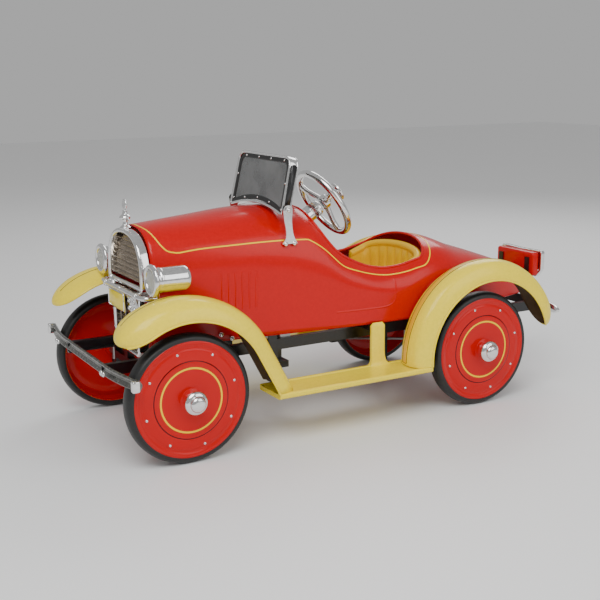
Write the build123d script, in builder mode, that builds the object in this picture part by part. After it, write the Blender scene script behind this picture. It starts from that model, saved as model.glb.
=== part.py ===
"""Ride-on pedal car in the style of a 1920s roadster: pressed steel body on a ladder chassis.

Frame: +Z up with Z = 0 on the ground, the nose faces -Y, the car's left side is +X and the
origin lies on the ground under the middle of the overall length. All sizes are millimetres.
"""

import os
from math import cos, radians, sin

from build123d import *

os.makedirs("parts", exist_ok=True)

# ---------------------------------------------------------------- overall layout
wheelbase = 702.0
front_reach = 146.0  # front axle to the bumper's face
rear_reach = 312.0  # rear axle to the tank trim's face
length = front_reach + wheelbase + rear_reach
front_y = -length / 2 + front_reach  # front axle line
rear_y = front_y + wheelbase  # rear axle line

running_gap = 0.05  # radial clearance of every turning or sliding pin
side_gap = 0.5  # clearance between a turning piece and what stands beside it

# ---------------------------------------------------------------- wheels
tyre_r = 127.0
rim_r = 115.0
tyre_width = 36.0
tyre_side_r = 116.5  # where the tread's arc starts on the tyre's sides
face_x = 222.0  # outer face of each wheel disc from the centre plane
disc_t = 3.0
rim_width = 34.0
ring_r = 74.0  # raised centre panel of the disc
ring_step = 1.6
hub_r = 14.0
hub_in = 18.0  # hub length inboard of the face
hub_out = 15.0  # hub length outboard of the face
axle_r = 6.0
rivet_count = 8
rivet_ring_r = 94.0
rivet_r = 2.4
rivet_h = 1.6
cap_r = 24.0
cap_l = 24.0

# ---------------------------------------------------------------- front axle and steering
kingpin_x = 184.0
kingpin_r = 6.0
barrel_r = 10.0
barrel_h = 30.0
ear_t = 8.0
beam_size = 16.0
steer_arm = 55.0  # kingpin to tie-rod pin
arm_t = 8.0
tie_pin_r = 4.0
tie_bar_r = 4.4
eye_r = 9.0
eye_t = 10.0
steer_ratio = 0.7  # knuckle angle over steering-wheel angle
crank_arm = steer_ratio * steer_arm
crank_pin_r = 4.0
column_tilt = 31.7  # degrees above the horizontal
column_y = front_y + 425.0  # middle of the steering wheel
column_z = 447.5
shaft_r = 8.0
jacket_r = 18.0
jacket_len = 66.0
wheel_ring_r = 78.0
wheel_tube_r = 6.0
spoke_r = 4.5
hub_boss_r = 16.0
hub_boss_t = 22.0
button_r = 22.0
button_post_r = 5.0
button_rise = 38.0

# ---------------------------------------------------------------- chassis
rail_x = 100.0  # middle of each rail
rail_w = 12.0
rail_h = 23.0
rail_z = 163.0  # underside of the rails
web_t = 3.0
rail_top = rail_z + rail_h

# ---------------------------------------------------------------- pedals and drive
throw = 36.0
throw_x = 46.0  # middle of each crank pin
web_half = 4.0
pin_half = 10.0
rod_r = 3.5
rod_eye_r = 10.0
rod_eye_t = 8.0
pedal_y = front_y + 271.0
pedal_z = 262.0
pedal_shaft_r = 5.0
pedal_x = 66.0
pedal_arm_t = 8.0
pedal_arm_l = 130.0
rod_drop = 107.0  # pedal shaft to the rod's pin
pad_x0 = 54.5
pad_x1 = 92.0
pad_depth = 24.0
pad_t = 14.0

# ---------------------------------------------------------------- body
wall = 3.0
sill_z = 200.0
hood_y = front_y - 20.0  # butt of the hood against the radiator shell
dash_y = front_y + 352.0
dash_low = 345.0  # lower edge of the dash panel
opening_y = front_y + 357.0
opening_half_front = 92.0
opening_half = 116.0
opening_end_y = rear_y - 57.0
opening_round = 47.0
tail_y = rear_y + 261.0

# Body stations: place along Y, half width, crown height, shoulder height, fullness of the arch.
stations = [
    (hood_y, 93, 433, 342, 0.66),
    (front_y + 100, 108, 444, 344, 0.66),
    (front_y + 221, 122, 454, 338, 0.66),
    (front_y + 291, 130, 452, 326, 0.64),
    (dash_y, 137, 442, 306, 0.58),
    (front_y + 401, 143, 396, 285, 0.55),
    (front_y + 451, 147, 354, 270, 0.61),
    (rear_y - 201, 149, 337, 260, 0.64),
    (rear_y - 151, 150, 338, 260, 0.64),
    (rear_y - 101, 148, 352, 266, 0.64),
    (rear_y - 51, 143, 361, 270, 0.64),
    (rear_y + 46, 124, 331, 256, 0.64),
    (rear_y + 138, 100, 301, 240, 0.64),
    (rear_y + 214, 77, 274, 226, 0.64),
    (tail_y, 60, 256, 214, 0.64),
]

# ---------------------------------------------------------------- fenders and running boards
fender_out = 238.0
front_fender_in = 125.0
rear_fender_in = 153.0
front_crown_r = 194.0  # top of the crown, measured from the fender's arc centre
front_lip_r = 154.0
rear_crown_r = 204.0
rear_lip_r = 161.0
crown_shoulder = 24.0  # how far the crown's edges lie inside its top
skirt_x = 6.0  # how far the skirt's top stands inboard of its lip
sheet = 2.0
front_foot = 28.0  # degrees: where the front fender leaves its arc for the board
front_tip = 138.0
rear_tip = 12.0
board_z = 100.0
board_t = 12.0
board_in = 152.0
board_y0 = front_y + 182.0
board_y1 = rear_y - 148.0
rear_fender_shift = 13.0  # the rear arc stands this far behind the axle
rear_fender_drop = 6.0
step_y0 = rear_y - 253.0
step_y1 = rear_y - 219.0
step_t = 7.0

# ---------------------------------------------------------------- radiator, lamps, bumpers
shell_y = front_y - 42.0  # face of the radiator shell
shell_depth = 22.0
shell_half = 93.0
shell_crown = 428.0
shell_shoulder = 340.0
shell_fullness = 0.66
shell_band = 9.0
waist_z = 310.0
waist_half = 77.0
foot_half = 66.0
foot_z = 176.0
lamp_x = 139.0
lamp_z = 345.5
lamp_r = 25.0
bezel_r = 32.0
lamp_len = 80.0
dial_r = 11.0
bolt_head = 3.0
bolt_r = 5.5
bumper_z = 180.0
bumper_h = 22.0
bumper_t = 10.0
bumper_half = 257.0
bumper_bend_x = 150.0
bumper_sweep = 16.0  # how far the ends are swept back
bar_r = 5.5
bar_z = 306.0
bar_reach = 118.0
tank_y = rear_y + 279.0
tank_half = 66.0
tank_z0 = 235.0
tank_z1 = 293.0
tank_depth = 22.0
strap_gap = 3.0  # thickness of the straps that carry the tank
rear_bumper_z = 168.0
rear_bumper_half = 162.0

# ---------------------------------------------------------------- windshield
screen_y = front_y + 254.0
screen_z = 444.0
screen_rake = 12.5
screen_half = 117.0
screen_h = 121.0
screen_arch = 16.0  # rise of the lower edge over the cowl
screen_depth = 20.0
screen_band = 5.0
gasket_w = 9.0
glass_t = 3.0


def keep(piece, name):
    """Label a finished piece and write it under its own name."""
    piece.label = name
    export_step(piece, f"parts/{name}.step")


def polygon(plane, *points):
    """A closed straight-sided outline on a plane."""
    with BuildSketch(plane) as shape:
        with BuildLine():
            Polyline(*points, close=True)
        make_face()
    return shape.sketch


def disc(plane, radius, bore=0.0):
    """A round face on a plane, with a bore when one is given."""
    with BuildSketch(plane) as shape:
        Circle(radius)
        if bore:
            Circle(bore, mode=Mode.SUBTRACT)
    return shape.sketch


def round_bar(start, end, radius, mode=Mode.ADD):
    """A round bar between two points."""
    run = Vector(*end) - Vector(*start)
    extrude(disc(Plane(origin=start, z_dir=run), radius), amount=run.length, mode=mode)


def block(x0, x1, y0, y1, z0, z1, mode=Mode.ADD):
    """A box given by its corners."""
    with Locations(((x0 + x1) / 2, (y0 + y1) / 2, (z0 + z1) / 2)):
        Box(abs(x1 - x0), abs(y1 - y0), abs(z1 - z0), mode=mode)


def across(y, z):
    """The plane whose local x runs along +X and whose local y runs up, at a point (0, y, z)."""
    return Plane(origin=(0, y, z), x_dir=(1, 0, 0), z_dir=(0, -1, 0))


def other_side(piece):
    """The mirror image of a piece on the car's other side."""
    with BuildPart() as image:
        add(piece)
        mirror(about=Plane.YZ, mode=Mode.REPLACE)
    return image.part


def both_sides(piece):
    """A piece and its mirror image as separate solids."""
    with BuildPart() as pair:
        add(piece)
        mirror(about=Plane.YZ)
    return pair.part


def arch(half, crown, shoulder, fullness):
    """Draw an arch from the left shoulder over the crown to the right one.

    fullness is the length of the curves' handles as a share of the arch: 0.55 is an ellipse.
    """
    handle = fullness * (crown - shoulder)
    for side in (-1, 1):
        Bezier(
            (side * half, shoulder),
            (side * half, shoulder + handle),
            (side * fullness * half, crown),
            (0, crown),
        )


def arch_section(y, half, crown, shoulder, fullness, floor, inset=0.0):
    """A filled body section: straight sides from the floor to the shoulders, an arch over them."""
    half -= inset
    crown -= inset
    shoulder -= inset / 2
    with BuildSketch(across(y, 0)) as shape:
        with BuildLine():
            arch(half, crown, shoulder, fullness)
            Polyline((-half, shoulder), (-half, floor), (half, floor), (half, shoulder))
        make_face()
    return shape.sketch


def sheet_section(y, half, crown, shoulder, fullness, floor):
    """The body's sheet at one station: the arch section's outline, one wall thick, open below."""
    low = shoulder - wall / 2
    with BuildSketch(across(y, 0)) as shape:
        with BuildLine():
            arch(half, crown, shoulder, fullness)
            arch(half - wall, crown - wall, low, fullness)
            for side in (-1, 1):
                out = side * half
                within = side * (half - wall)
                Polyline((out, shoulder), (out, floor), (within, floor), (within, low))
        make_face()
    return shape.sketch


# ================================================================ body
with BuildPart() as body_shell:
    loft([sheet_section(*s, floor=sill_z) for s in stations], ruled=True)
    extrude(arch_section(*stations[-1], floor=sill_z), amount=wall)
    mid_y = opening_y + 115
    end_y = opening_end_y - opening_round
    with BuildSketch(Plane.XY.offset(sill_z + 10)):
        with BuildLine():
            EllipticalCenterArc((0, end_y), opening_half, opening_round, 0, arc_size=180)
            Polyline(
                (-opening_half, end_y),
                (-opening_half, mid_y),
                (-opening_half_front, opening_y),
                (opening_half_front, opening_y),
                (opening_half, mid_y),
                (opening_half, end_y),
            )
        make_face()
    extrude(amount=300, mode=Mode.SUBTRACT)
keep(body_shell.part, "body_shell")

with BuildPart() as dash_panel:
    dash = stations[4]
    extrude(arch_section(*dash, floor=sill_z, inset=wall + side_gap), amount=wall)
    block(-200, 200, dash_y - 20, dash_y + 20, sill_z - 1, dash_low, mode=Mode.SUBTRACT)
    round_bar(
        (0, column_y, column_z),
        (0, column_y - 150 * cos(radians(column_tilt)), column_z - 150 * sin(radians(column_tilt))),
        jacket_r + side_gap,
        mode=Mode.SUBTRACT,
    )
keep(dash_panel.part, "dash_panel")

# ================================================================ seat
seat_z = 226.0
seat_sheet = 3.0
cushion_t = 34.0
seat_y0 = opening_end_y - 165
back_t = 14.0
back_gap = 3.0

with BuildPart() as seat_pan:
    block(-rail_x, rail_x, seat_y0, opening_end_y - 12, seat_z, seat_z + seat_sheet)
    for side in (1, -1):
        for y in (seat_y0 + 8, opening_end_y - 34):
            leg = side * rail_x
            block(leg - 5 * side, leg, y, y + 14, rail_top, seat_z)
keep(seat_pan.part, "seat_pan")

back_out = opening_half - back_gap
back_round = opening_round - back_gap
back_y = opening_end_y - opening_round


def seat_outline(inset, front):
    """Plan outline of the tub seat: straight sides and a half-ellipse behind."""
    with BuildSketch(Plane.XY.offset(seat_z + seat_sheet)) as shape:
        with BuildLine():
            EllipticalCenterArc((0, back_y), back_out - inset, back_round - inset, 0, arc_size=180)
            Polyline(
                (-back_out + inset, back_y),
                (-back_out + inset, front),
                (back_out - inset, front),
                (back_out - inset, back_y),
            )
        make_face()
    return shape.sketch


with BuildPart() as seat_back:
    extrude(seat_outline(0, back_y - 44), amount=130)
    extrude(seat_outline(back_t, back_y - 60), amount=130, mode=Mode.SUBTRACT)
    rim_low = Plane(origin=(0, back_y - 44, 312), x_dir=(1, 0, 0), z_dir=(0, -0.36, 1))
    split(bisect_by=rim_low, keep=Keep.BOTTOM)
keep(seat_back.part, "seat_back")

with BuildPart() as seat_cushion:
    extrude(seat_outline(back_t + 1.5, seat_y0 + 4), amount=cushion_t)
    fillet(seat_cushion.edges().group_by(Axis.Z)[-1], 8)
keep(seat_cushion.part, "seat_cushion")

# ================================================================ chassis
rail_y0 = -length / 2 + bolt_head + bumper_t
rail_y1 = rear_y + 292.0
cross_ys = (front_y + 62.0, rear_y + 72.0, tank_y - strap_gap - web_t)
iron_ys = (board_y0 + 46.0, board_y1 - 50.0)
iron_w = 20.0
iron_t = 3.0
# Tabs that hold the body, each at a station: the place along Y and the half width there.
body_irons = [(stations[i][0], min(stations[i][1], stations[i + 1][1])) for i in (2, 6, 9)]

with BuildPart() as chassis_frame:
    for side in (1, -1):
        x0 = side * (rail_x - rail_w / 2)
        x1 = side * (rail_x + rail_w / 2)
        block(x0, x1, rail_y0, rail_y1, rail_z, rail_top)
        cut = x1 - side * web_t
        block(x0, cut, rail_y0, rail_y1, rail_z + web_t, rail_top - web_t, mode=Mode.SUBTRACT)
        for y in iron_ys:
            reach = side * (fender_out - 14)
            block(x0, reach, y, y + iron_w, board_z - iron_t, board_z)
            block(x1, x1 + side * iron_t, y, y + iron_w, board_z - iron_t, rail_top)
    for y in cross_ys:
        inner = rail_x - rail_w / 2
        block(-inner, inner, y, y + 20, rail_z, rail_z + web_t)
        block(-inner, inner, y, y + web_t, rail_z, rail_top)
    for side in (1, -1):
        block(side * 40, side * 54, tank_y - strap_gap, tank_y, rail_z + web_t, tank_z1 - 12)
        for y, half in body_irons:
            inside = side * (half - wall - side_gap)
            block(side * rail_x, inside, y, y + iron_w, rail_top, rail_top + iron_t)
            block(inside - side * iron_t, inside, y, y + iron_w, rail_top, sill_z + 16)
keep(chassis_frame.part, "chassis_frame")

beam_z = tyre_r
with BuildPart() as front_axle_beam:
    half = beam_size / 2
    block(-kingpin_x + 14, kingpin_x - 14, front_y - half, front_y + half, beam_z - half, beam_z + half)
    ear_z = barrel_h / 2 + side_gap
    for side in (1, -1):
        block(
            side * (kingpin_x - 20), side * (kingpin_x - 12), front_y - half, front_y + half,
            beam_z - ear_z - ear_t, beam_z + ear_z + ear_t,
        )
        for z in (beam_z - ear_z - ear_t, beam_z + ear_z):
            block(side * (kingpin_x - 20), side * kingpin_x, front_y - half, front_y + half, z, z + ear_t)
            with Locations((side * kingpin_x, front_y, z + ear_t / 2)):
                Cylinder(barrel_r, ear_t)
                Cylinder(kingpin_r, ear_t + 1, mode=Mode.SUBTRACT)
        perch = side * rail_x
        block(perch - 9, perch + 9, front_y - half, front_y + half, beam_z + half, rail_z)
keep(front_axle_beam.part, "front_axle_beam")

with BuildPart() as kingpins:
    for side in (1, -1):
        with Locations((side * kingpin_x, front_y, beam_z)):
            Cylinder(kingpin_r, 2 * (ear_z + ear_t))
        for end in (1, -1):
            with Locations((side * kingpin_x, front_y, beam_z + end * (ear_z + ear_t + 2))):
                Cylinder(kingpin_r + 2.5, 4)
keep(kingpins.part, "kingpins")

# ================================================================ steering
arm_z = beam_z - barrel_h / 2  # underside of the steering arms
tie_y = front_y + steer_arm
eye_z = arm_z + arm_t + 0.3
hub_inner_x = face_x - hub_in
nut_in = 4.0  # axle nut's seat, outboard of the wheel face
axle_end_x = face_x + hub_out - 3

with BuildPart() as knuckle_left:
    with Locations((kingpin_x, front_y, beam_z)):
        Cylinder(barrel_r, barrel_h)
    round_bar((kingpin_x, front_y, beam_z), (hub_inner_x - side_gap, front_y, beam_z), barrel_r - 1)
    round_bar((kingpin_x, front_y, beam_z), (axle_end_x, front_y, beam_z), axle_r)
    block(kingpin_x - 5, kingpin_x + 5, front_y, tie_y, arm_z, arm_z + arm_t)
    with Locations((kingpin_x, tie_y, arm_z + arm_t / 2)):
        Cylinder(eye_r, arm_t)
    with Locations((kingpin_x, tie_y, arm_z + arm_t + 8)):
        Cylinder(tie_pin_r, 16)
    with Locations((kingpin_x, front_y, beam_z)):
        Cylinder(kingpin_r + running_gap, barrel_h + 1, mode=Mode.SUBTRACT)
    round_bar(
        (face_x + nut_in, front_y, beam_z), (face_x + nut_in + 5, front_y, beam_z), hub_r - 3.5
    )
keep(knuckle_left.part, "knuckle_left")
keep(other_side(knuckle_left.part), "knuckle_right")

tilt = radians(column_tilt)
column_dir = Vector(0, cos(tilt), sin(tilt))
steer_centre = Vector(0, column_y, column_z)
tie_z = eye_z + eye_t / 2


def along_column(distance):
    """The plane square to the column at a distance below the steering wheel."""
    return Plane(origin=steer_centre - column_dir * distance, x_dir=(1, 0, 0), z_dir=column_dir)


# The crank turns in the plane that holds both the tie rod and the column's lower end.
crank_s = (steer_centre - Vector(0, tie_y, tie_z)).dot(column_dir)
crank_drop = (Vector(0, tie_y, tie_z) - along_column(crank_s).origin).length
plate_t = 5.0
slot_half = crank_pin_r + 1.3
slot_up = 9.0
slot_down = 9.0
crank_t = 8.0

with BuildPart() as tie_rod:
    for side in (1, -1):
        with Locations((side * kingpin_x, tie_y, tie_z)):
            Cylinder(eye_r, eye_t)
    round_bar((-kingpin_x, tie_y, tie_z), (kingpin_x, tie_y, tie_z), tie_bar_r)
    with BuildSketch(along_column(crank_s + plate_t / 2)):
        with Locations((0, crank_drop / 2 + crank_arm / 2 - 11)):
            Rectangle(26, crank_drop - crank_arm + 22)
        with Locations((0, crank_arm)):
            Rectangle(2 * slot_half, slot_up + slot_down, mode=Mode.SUBTRACT)
    extrude(amount=plate_t)
    for side in (1, -1):
        with Locations((side * kingpin_x, tie_y, tie_z)):
            Cylinder(tie_pin_r + running_gap * (1 if side > 0 else 2), eye_t + 1, mode=Mode.SUBTRACT)
keep(tie_rod.part, "tie_rod")

hub_low = hub_boss_t - 8.0  # underside of the steering wheel's boss below its plane

with BuildPart() as steering_shaft:
    shaft_end = crank_s - plate_t / 2 - 1.5
    extrude(disc(along_column(shaft_end), shaft_r), amount=shaft_end - hub_low)
    with BuildSketch(along_column(crank_s - plate_t / 2 - 1.5)):
        Circle(shaft_r + 4)
        with Locations((0, crank_arm / 2)):
            Rectangle(16, crank_arm)
        with Locations((0, crank_arm)):
            Circle(8)
    extrude(amount=crank_t)
    with BuildSketch(along_column(crank_s + plate_t / 2 + 6)):
        with Locations((0, crank_arm)):
            Circle(crank_pin_r)
    extrude(amount=plate_t + 10)
keep(steering_shaft.part, "steering_shaft")

with BuildPart() as steering_wheel:
    with Locations(along_column(0).location):
        Torus(wheel_ring_r, wheel_tube_r)
    extrude(disc(along_column(hub_low), hub_boss_r), amount=hub_boss_t)
    for angle in (-30, 90, 210):
        ray = radians(angle)
        tip = along_column(0).from_local_coords((wheel_ring_r * cos(ray), wheel_ring_r * sin(ray), 0))
        round_bar(tuple(steer_centre), tuple(tip), spoke_r)
    extrude(
        disc(along_column(8), button_post_r + running_gap), amount=hub_boss_t, mode=Mode.SUBTRACT
    )
keep(steering_wheel.part, "steering_wheel")

with BuildPart() as horn_button:
    extrude(disc(along_column(4), button_post_r), amount=4 + button_rise)
    extrude(disc(along_column(-button_rise + 4), 12), amount=5)
    extrude(disc(along_column(-button_rise - 1), button_r), amount=9)
    extrude(disc(along_column(-button_rise - 4), button_r - 4), amount=7, mode=Mode.SUBTRACT)
keep(horn_button.part, "horn_button")

with BuildPart() as column_jacket:
    extrude(
        disc(along_column(hub_low + 1.5 + jacket_len), jacket_r, shaft_r + running_gap),
        amount=jacket_len,
    )
keep(column_jacket.part, "column_jacket")

collar_s = 63.0  # the collar's lower face, below the steering wheel's plane
with BuildPart() as column_collar:
    extrude(disc(along_column(collar_s), jacket_r + 8, jacket_r), amount=6)
    fillet(column_collar.edges().filter_by(GeomType.CIRCLE).sort_by(SortBy.RADIUS)[-2:], 2)
keep(column_collar.part, "column_collar")

bracket_s = crank_s - 32.0
with BuildPart() as column_bracket:
    with BuildSketch(along_column(bracket_s)):
        Circle(shaft_r + 9)
        with Locations((0, 17)):
            Rectangle(34, 34)
        Circle(shaft_r + running_gap, mode=Mode.SUBTRACT)
    extrude(amount=6)
    foot = along_column(bracket_s - 3).from_local_coords((0, 30, 0))
    block(-17, 17, foot.Y - 5, cross_ys[0] + 20, rail_z + web_t, rail_z + web_t + 4)
    block(-17, 17, foot.Y - 4, foot.Y + 6, rail_z + web_t, foot.Z)
    block(-30, 30, cross_ys[0] - 20, cross_ys[0] + web_t, rail_z - 30, rail_top + 1, mode=Mode.SUBTRACT)
keep(column_bracket.part, "column_bracket")

# ================================================================ wheels


def wheel_disc(y, bore):
    """A pressed disc wheel on the car's left side, with its rolled rim, hub and rivets."""
    with BuildPart() as wheel:
        profile = polygon(
            across(y, tyre_r),
            (face_x - hub_in, bore),
            (face_x + nut_in, bore),
            (face_x + nut_in, hub_r - 1.5),
            (face_x + hub_out, hub_r - 1.5),
            (face_x + hub_out, hub_r),
            (face_x + ring_step, hub_r),
            (face_x + ring_step, ring_r - 1),
            (face_x, ring_r),
            (face_x, rim_r),
            (face_x - rim_width, rim_r),
            (face_x - rim_width, rim_r - disc_t),
            (face_x - disc_t, rim_r - disc_t),
            (face_x - disc_t, hub_r),
            (face_x - hub_in, hub_r),
        )
        revolve(profile, axis=Axis((0, y, tyre_r), (1, 0, 0)))
        with Locations(Plane(origin=(face_x + rivet_h / 2, y, tyre_r), z_dir=(1, 0, 0))):
            with PolarLocations(rivet_ring_r, rivet_count):
                Cylinder(rivet_r, rivet_h)
    return wheel.part


def wheel_tyre(y):
    """A solid rubber tyre with a rounded tread, stretched over the rim."""
    half = tyre_width / 2
    mid = face_x - half
    left = (mid - half, tyre_side_r)
    right = (mid + half, tyre_side_r)
    with BuildPart() as tyre:
        with BuildSketch(across(y, tyre_r)):
            with BuildLine():
                Polyline(left, (mid - half, rim_r), (mid + half, rim_r), right)
                ThreePointArc(right, (mid, tyre_r), left)
            make_face()
        revolve(axis=Axis((0, y, tyre_r), (1, 0, 0)))
    return tyre.part


def hub_cap(y):
    """A domed nut over the end of the hub."""
    seat = face_x + hub_out
    with BuildPart() as cap:
        with BuildSketch(across(y, tyre_r)):
            with BuildLine():
                Polyline((seat, 0), (seat, hub_r + 2), (seat + 3, cap_r), (seat + 10, cap_r))
                ThreePointArc((seat + 10, cap_r), (seat + 20, cap_r - 7), (seat + cap_l, 8))
                Polyline((seat + cap_l, 8), (seat + cap_l, 0), (seat, 0))
            make_face()
        revolve(axis=Axis((0, y, tyre_r), (1, 0, 0)))
    return cap.part


for place, y in (("front", front_y), ("rear", rear_y)):
    for side in ("left", "right"):
        fixed = place == "rear" and side == "left"
        pieces = {
            "wheel": wheel_disc(y, axle_r if fixed else axle_r + running_gap),
            "tyre": wheel_tyre(y),
            "hub_cap": hub_cap(y),
        }
        for kind, piece in pieces.items():
            placed = piece if side == "left" else other_side(piece)
            keep(placed, f"{kind}_{place}_{side}")

# ================================================================ rear axle and pedals
with BuildPart() as rear_axle:
    web_x = throw_x - pin_half - web_half
    for side in (1, -1):
        outer = throw_x + pin_half
        round_bar((side * outer, rear_y, tyre_r), (side * axle_end_x, rear_y, tyre_r), axle_r)
        round_bar(
            (side * (face_x + nut_in), rear_y, tyre_r),
            (side * (face_x + nut_in + 5), rear_y, tyre_r),
            hub_r - 3.5,
        )
        pin_z = tyre_r + side * throw
        round_bar((side * (web_x), rear_y, pin_z), (side * (outer + web_half), rear_y, pin_z), rod_r + 1)
        for x in (web_x, outer + web_half):
            low, high = sorted((tyre_r, pin_z))
            block(
                side * x - web_half, side * x + web_half, rear_y - 9, rear_y + 9, low - 9, high + 9
            )
    round_bar((-web_x, rear_y, tyre_r), (web_x, rear_y, tyre_r), axle_r)
keep(rear_axle.part, "rear_axle")

pin_bore = rod_r + 1 + running_gap


def push_rod(side):
    """A straight rod from a crank pin forward to its pedal arm, with an eye at each end."""
    pin_z = tyre_r + side * throw
    front_z = pedal_z - rod_drop
    x = side * throw_x
    half = rod_eye_t / 2
    with BuildPart() as rod:
        round_bar((x, rear_y, pin_z), (x, pedal_y, front_z), rod_r)
        for y, z in ((rear_y, pin_z), (pedal_y, front_z)):
            round_bar((x - half, y, z), (x + half, y, z), rod_eye_r)
            round_bar((x - half - 1, y, z), (x + half + 1, y, z), pin_bore, mode=Mode.SUBTRACT)
    return rod.part


def pedal(side):
    """A hanging pedal arm with its pad and the stub that carries the push rod."""
    x = side * pedal_x
    half = pedal_arm_t / 2
    bottom = pedal_z - pedal_arm_l
    stub = side * (throw_x + rod_eye_t / 2 + 1)
    with BuildPart() as arm:
        round_bar((x - half, pedal_y, pedal_z), (x + half, pedal_y, pedal_z), rod_eye_r)
        block(x - half, x + half, pedal_y - 7, pedal_y + 7, bottom, pedal_z)
        round_bar((x, pedal_y, pedal_z - rod_drop), (stub, pedal_y, pedal_z - rod_drop), rod_r + 1)
        block(side * pad_x0, side * pad_x1, pedal_y - pad_depth / 2, pedal_y + pad_depth / 2, bottom - pad_t, bottom)
        bore = pedal_shaft_r + running_gap
        round_bar((x - half - 1, pedal_y, pedal_z), (x + half + 1, pedal_y, pedal_z), bore, mode=Mode.SUBTRACT)
    return arm.part


for side, name in ((1, "left"), (-1, "right")):
    keep(push_rod(side), f"push_rod_{name}")
    keep(pedal(side), f"pedal_{name}")

with BuildPart() as pedal_shaft:
    end = rail_x - rail_w / 2
    round_bar((-end, pedal_y, pedal_z), (end, pedal_y, pedal_z), pedal_shaft_r)
    for side in (1, -1):
        block(side * end, side * (end + 6), pedal_y - 12, pedal_y + 12, rail_top, pedal_z + 12)
        for x in (pedal_x - pedal_arm_t / 2 - side_gap - 3, pedal_x + pedal_arm_t / 2 + side_gap):
            round_bar((side * x, pedal_y, pedal_z), (side * (x + 3), pedal_y, pedal_z), 9)
keep(pedal_shaft.part, "pedal_shaft")

with BuildPart() as axle_bearings:
    for side in (1, -1):
        x = side * rail_x
        block(x - 6, x + 6, rear_y - 16, rear_y + 16, tyre_r - 14, rail_z)
    round_bar((-rail_x - 8, rear_y, tyre_r), (rail_x + 8, rear_y, tyre_r), axle_r + running_gap, mode=Mode.SUBTRACT)
keep(axle_bearings.part, "axle_bearings")

# ================================================================ fenders and running boards


def fender_profile(plane, inner, crown, lip):
    """Crowned fender section: local x across the car, local y out from the arc's centre."""
    mid = (inner + fender_out) / 2 + skirt_x
    shoulder = crown - crown_shoulder
    top = fender_out - skirt_x
    with BuildSketch(plane) as shape:
        with BuildLine():
            ThreePointArc((inner, shoulder), (mid, crown), (top, shoulder))
            Polyline(
                (top, shoulder), (fender_out, lip), (fender_out - sheet, lip), (top - sheet, shoulder - sheet)
            )
            ThreePointArc((top - sheet, shoulder - sheet), (mid, crown - sheet), (inner, shoulder - sheet))
            Line((inner, shoulder - sheet), (inner, shoulder))
        make_face()
    return shape.sketch


def fender(centre, inner, crown, lip, low, high, foot_at):
    """A left fender: its section turned about the arc's centre, with a straight foot to the board.

    low and high are the arc's ends in degrees from straight back up over the top; foot_at is
    the end from which the foot runs on in a straight line.
    """
    parts = []
    for angle in (low, foot_at):
        ray = radians(angle)
        plane = Plane(origin=centre, x_dir=(1, 0, 0), z_dir=(0, -sin(ray), cos(ray)))
        parts.append(fender_profile(plane, inner, crown, lip))
    with BuildPart() as piece:
        revolve(parts[0], axis=Axis(centre, (1, 0, 0)), revolution_arc=high - low)
        extrude(parts[1], amount=-150 if foot_at == low else 150)
        board_top = Plane.XY.offset(board_z + board_t)
        split(bisect_by=board_top, keep=Keep.TOP)
    return piece.part


front_centre = (0, front_y, tyre_r)
rear_centre = (0, rear_y + rear_fender_shift, tyre_r - rear_fender_drop)
fenders = {
    "front": fender(front_centre, front_fender_in, front_crown_r, front_lip_r, front_foot, front_tip, front_foot),
    "rear": fender(rear_centre, rear_fender_in, rear_crown_r, rear_lip_r, rear_tip, 180, 180),
}
for place, piece in fenders.items():
    keep(piece, f"{place}_fender_left")
    keep(other_side(piece), f"{place}_fender_right")

with BuildPart() as board:
    block(board_in, fender_out, board_y0, board_y1, board_z, board_z + board_t)
    fillet(board.edges().filter_by(Axis.Y).sort_by(Axis.X)[-2:], 3)
keep(both_sides(board.part), "running_boards")

with BuildPart() as step:
    block(board_in - 1, board_in - 1 + step_t, step_y0, step_y1, board_z + board_t, sill_z + 6)
    block(board_in - 1, board_in + 22, step_y0, step_y1 + 26, board_z + board_t, board_z + board_t + 5)
keep(both_sides(step.part), "step_brackets")

# ================================================================ radiator and lamps
with BuildPart() as radiator_shell:
    outer = arch_section(hood_y, shell_half, shell_crown, shell_shoulder, shell_fullness, waist_z)
    extrude(outer, amount=shell_depth)
    apron = polygon(
        across(hood_y, 0), (waist_half, waist_z), (foot_half, foot_z), (-foot_half, foot_z), (-waist_half, waist_z)
    )
    extrude(apron, amount=shell_depth)
    window = arch_section(
        hood_y, shell_half - shell_band, shell_crown - shell_band, shell_shoulder, shell_fullness, waist_z + 12
    )
    extrude(window, amount=shell_depth, mode=Mode.SUBTRACT)
    low_window = polygon(
        across(hood_y, 0),
        (waist_half - shell_band, waist_z - 10),
        (foot_half - shell_band, foot_z + shell_band),
        (-foot_half + shell_band, foot_z + shell_band),
        (-waist_half + shell_band, waist_z - 10),
    )
    extrude(low_window, amount=shell_depth, mode=Mode.SUBTRACT)
keep(radiator_shell.part, "radiator_shell")

with BuildPart() as grille_space:
    extrude(window, amount=shell_depth)
    extrude(low_window, amount=shell_depth)

slat_h = 3.0
slat_depth = 8.0
core_t = 4.0
with BuildPart() as radiator_grille:
    for low, high, count in (
        (waist_z + 20, shell_crown - shell_band - 13, 8),
        (foot_z + shell_band + 8, waist_z - 20, 7),
    ):
        for i in range(count):
            z = low + i * (high - low) / (count - 1)
            block(-shell_half, shell_half, hood_y - core_t - slat_depth, hood_y - core_t, z, z + slat_h)
    add(grille_space.part, mode=Mode.INTERSECT)
    extrude(window, amount=core_t)
    extrude(low_window, amount=core_t)
keep(radiator_grille.part, "radiator_grille")

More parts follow.
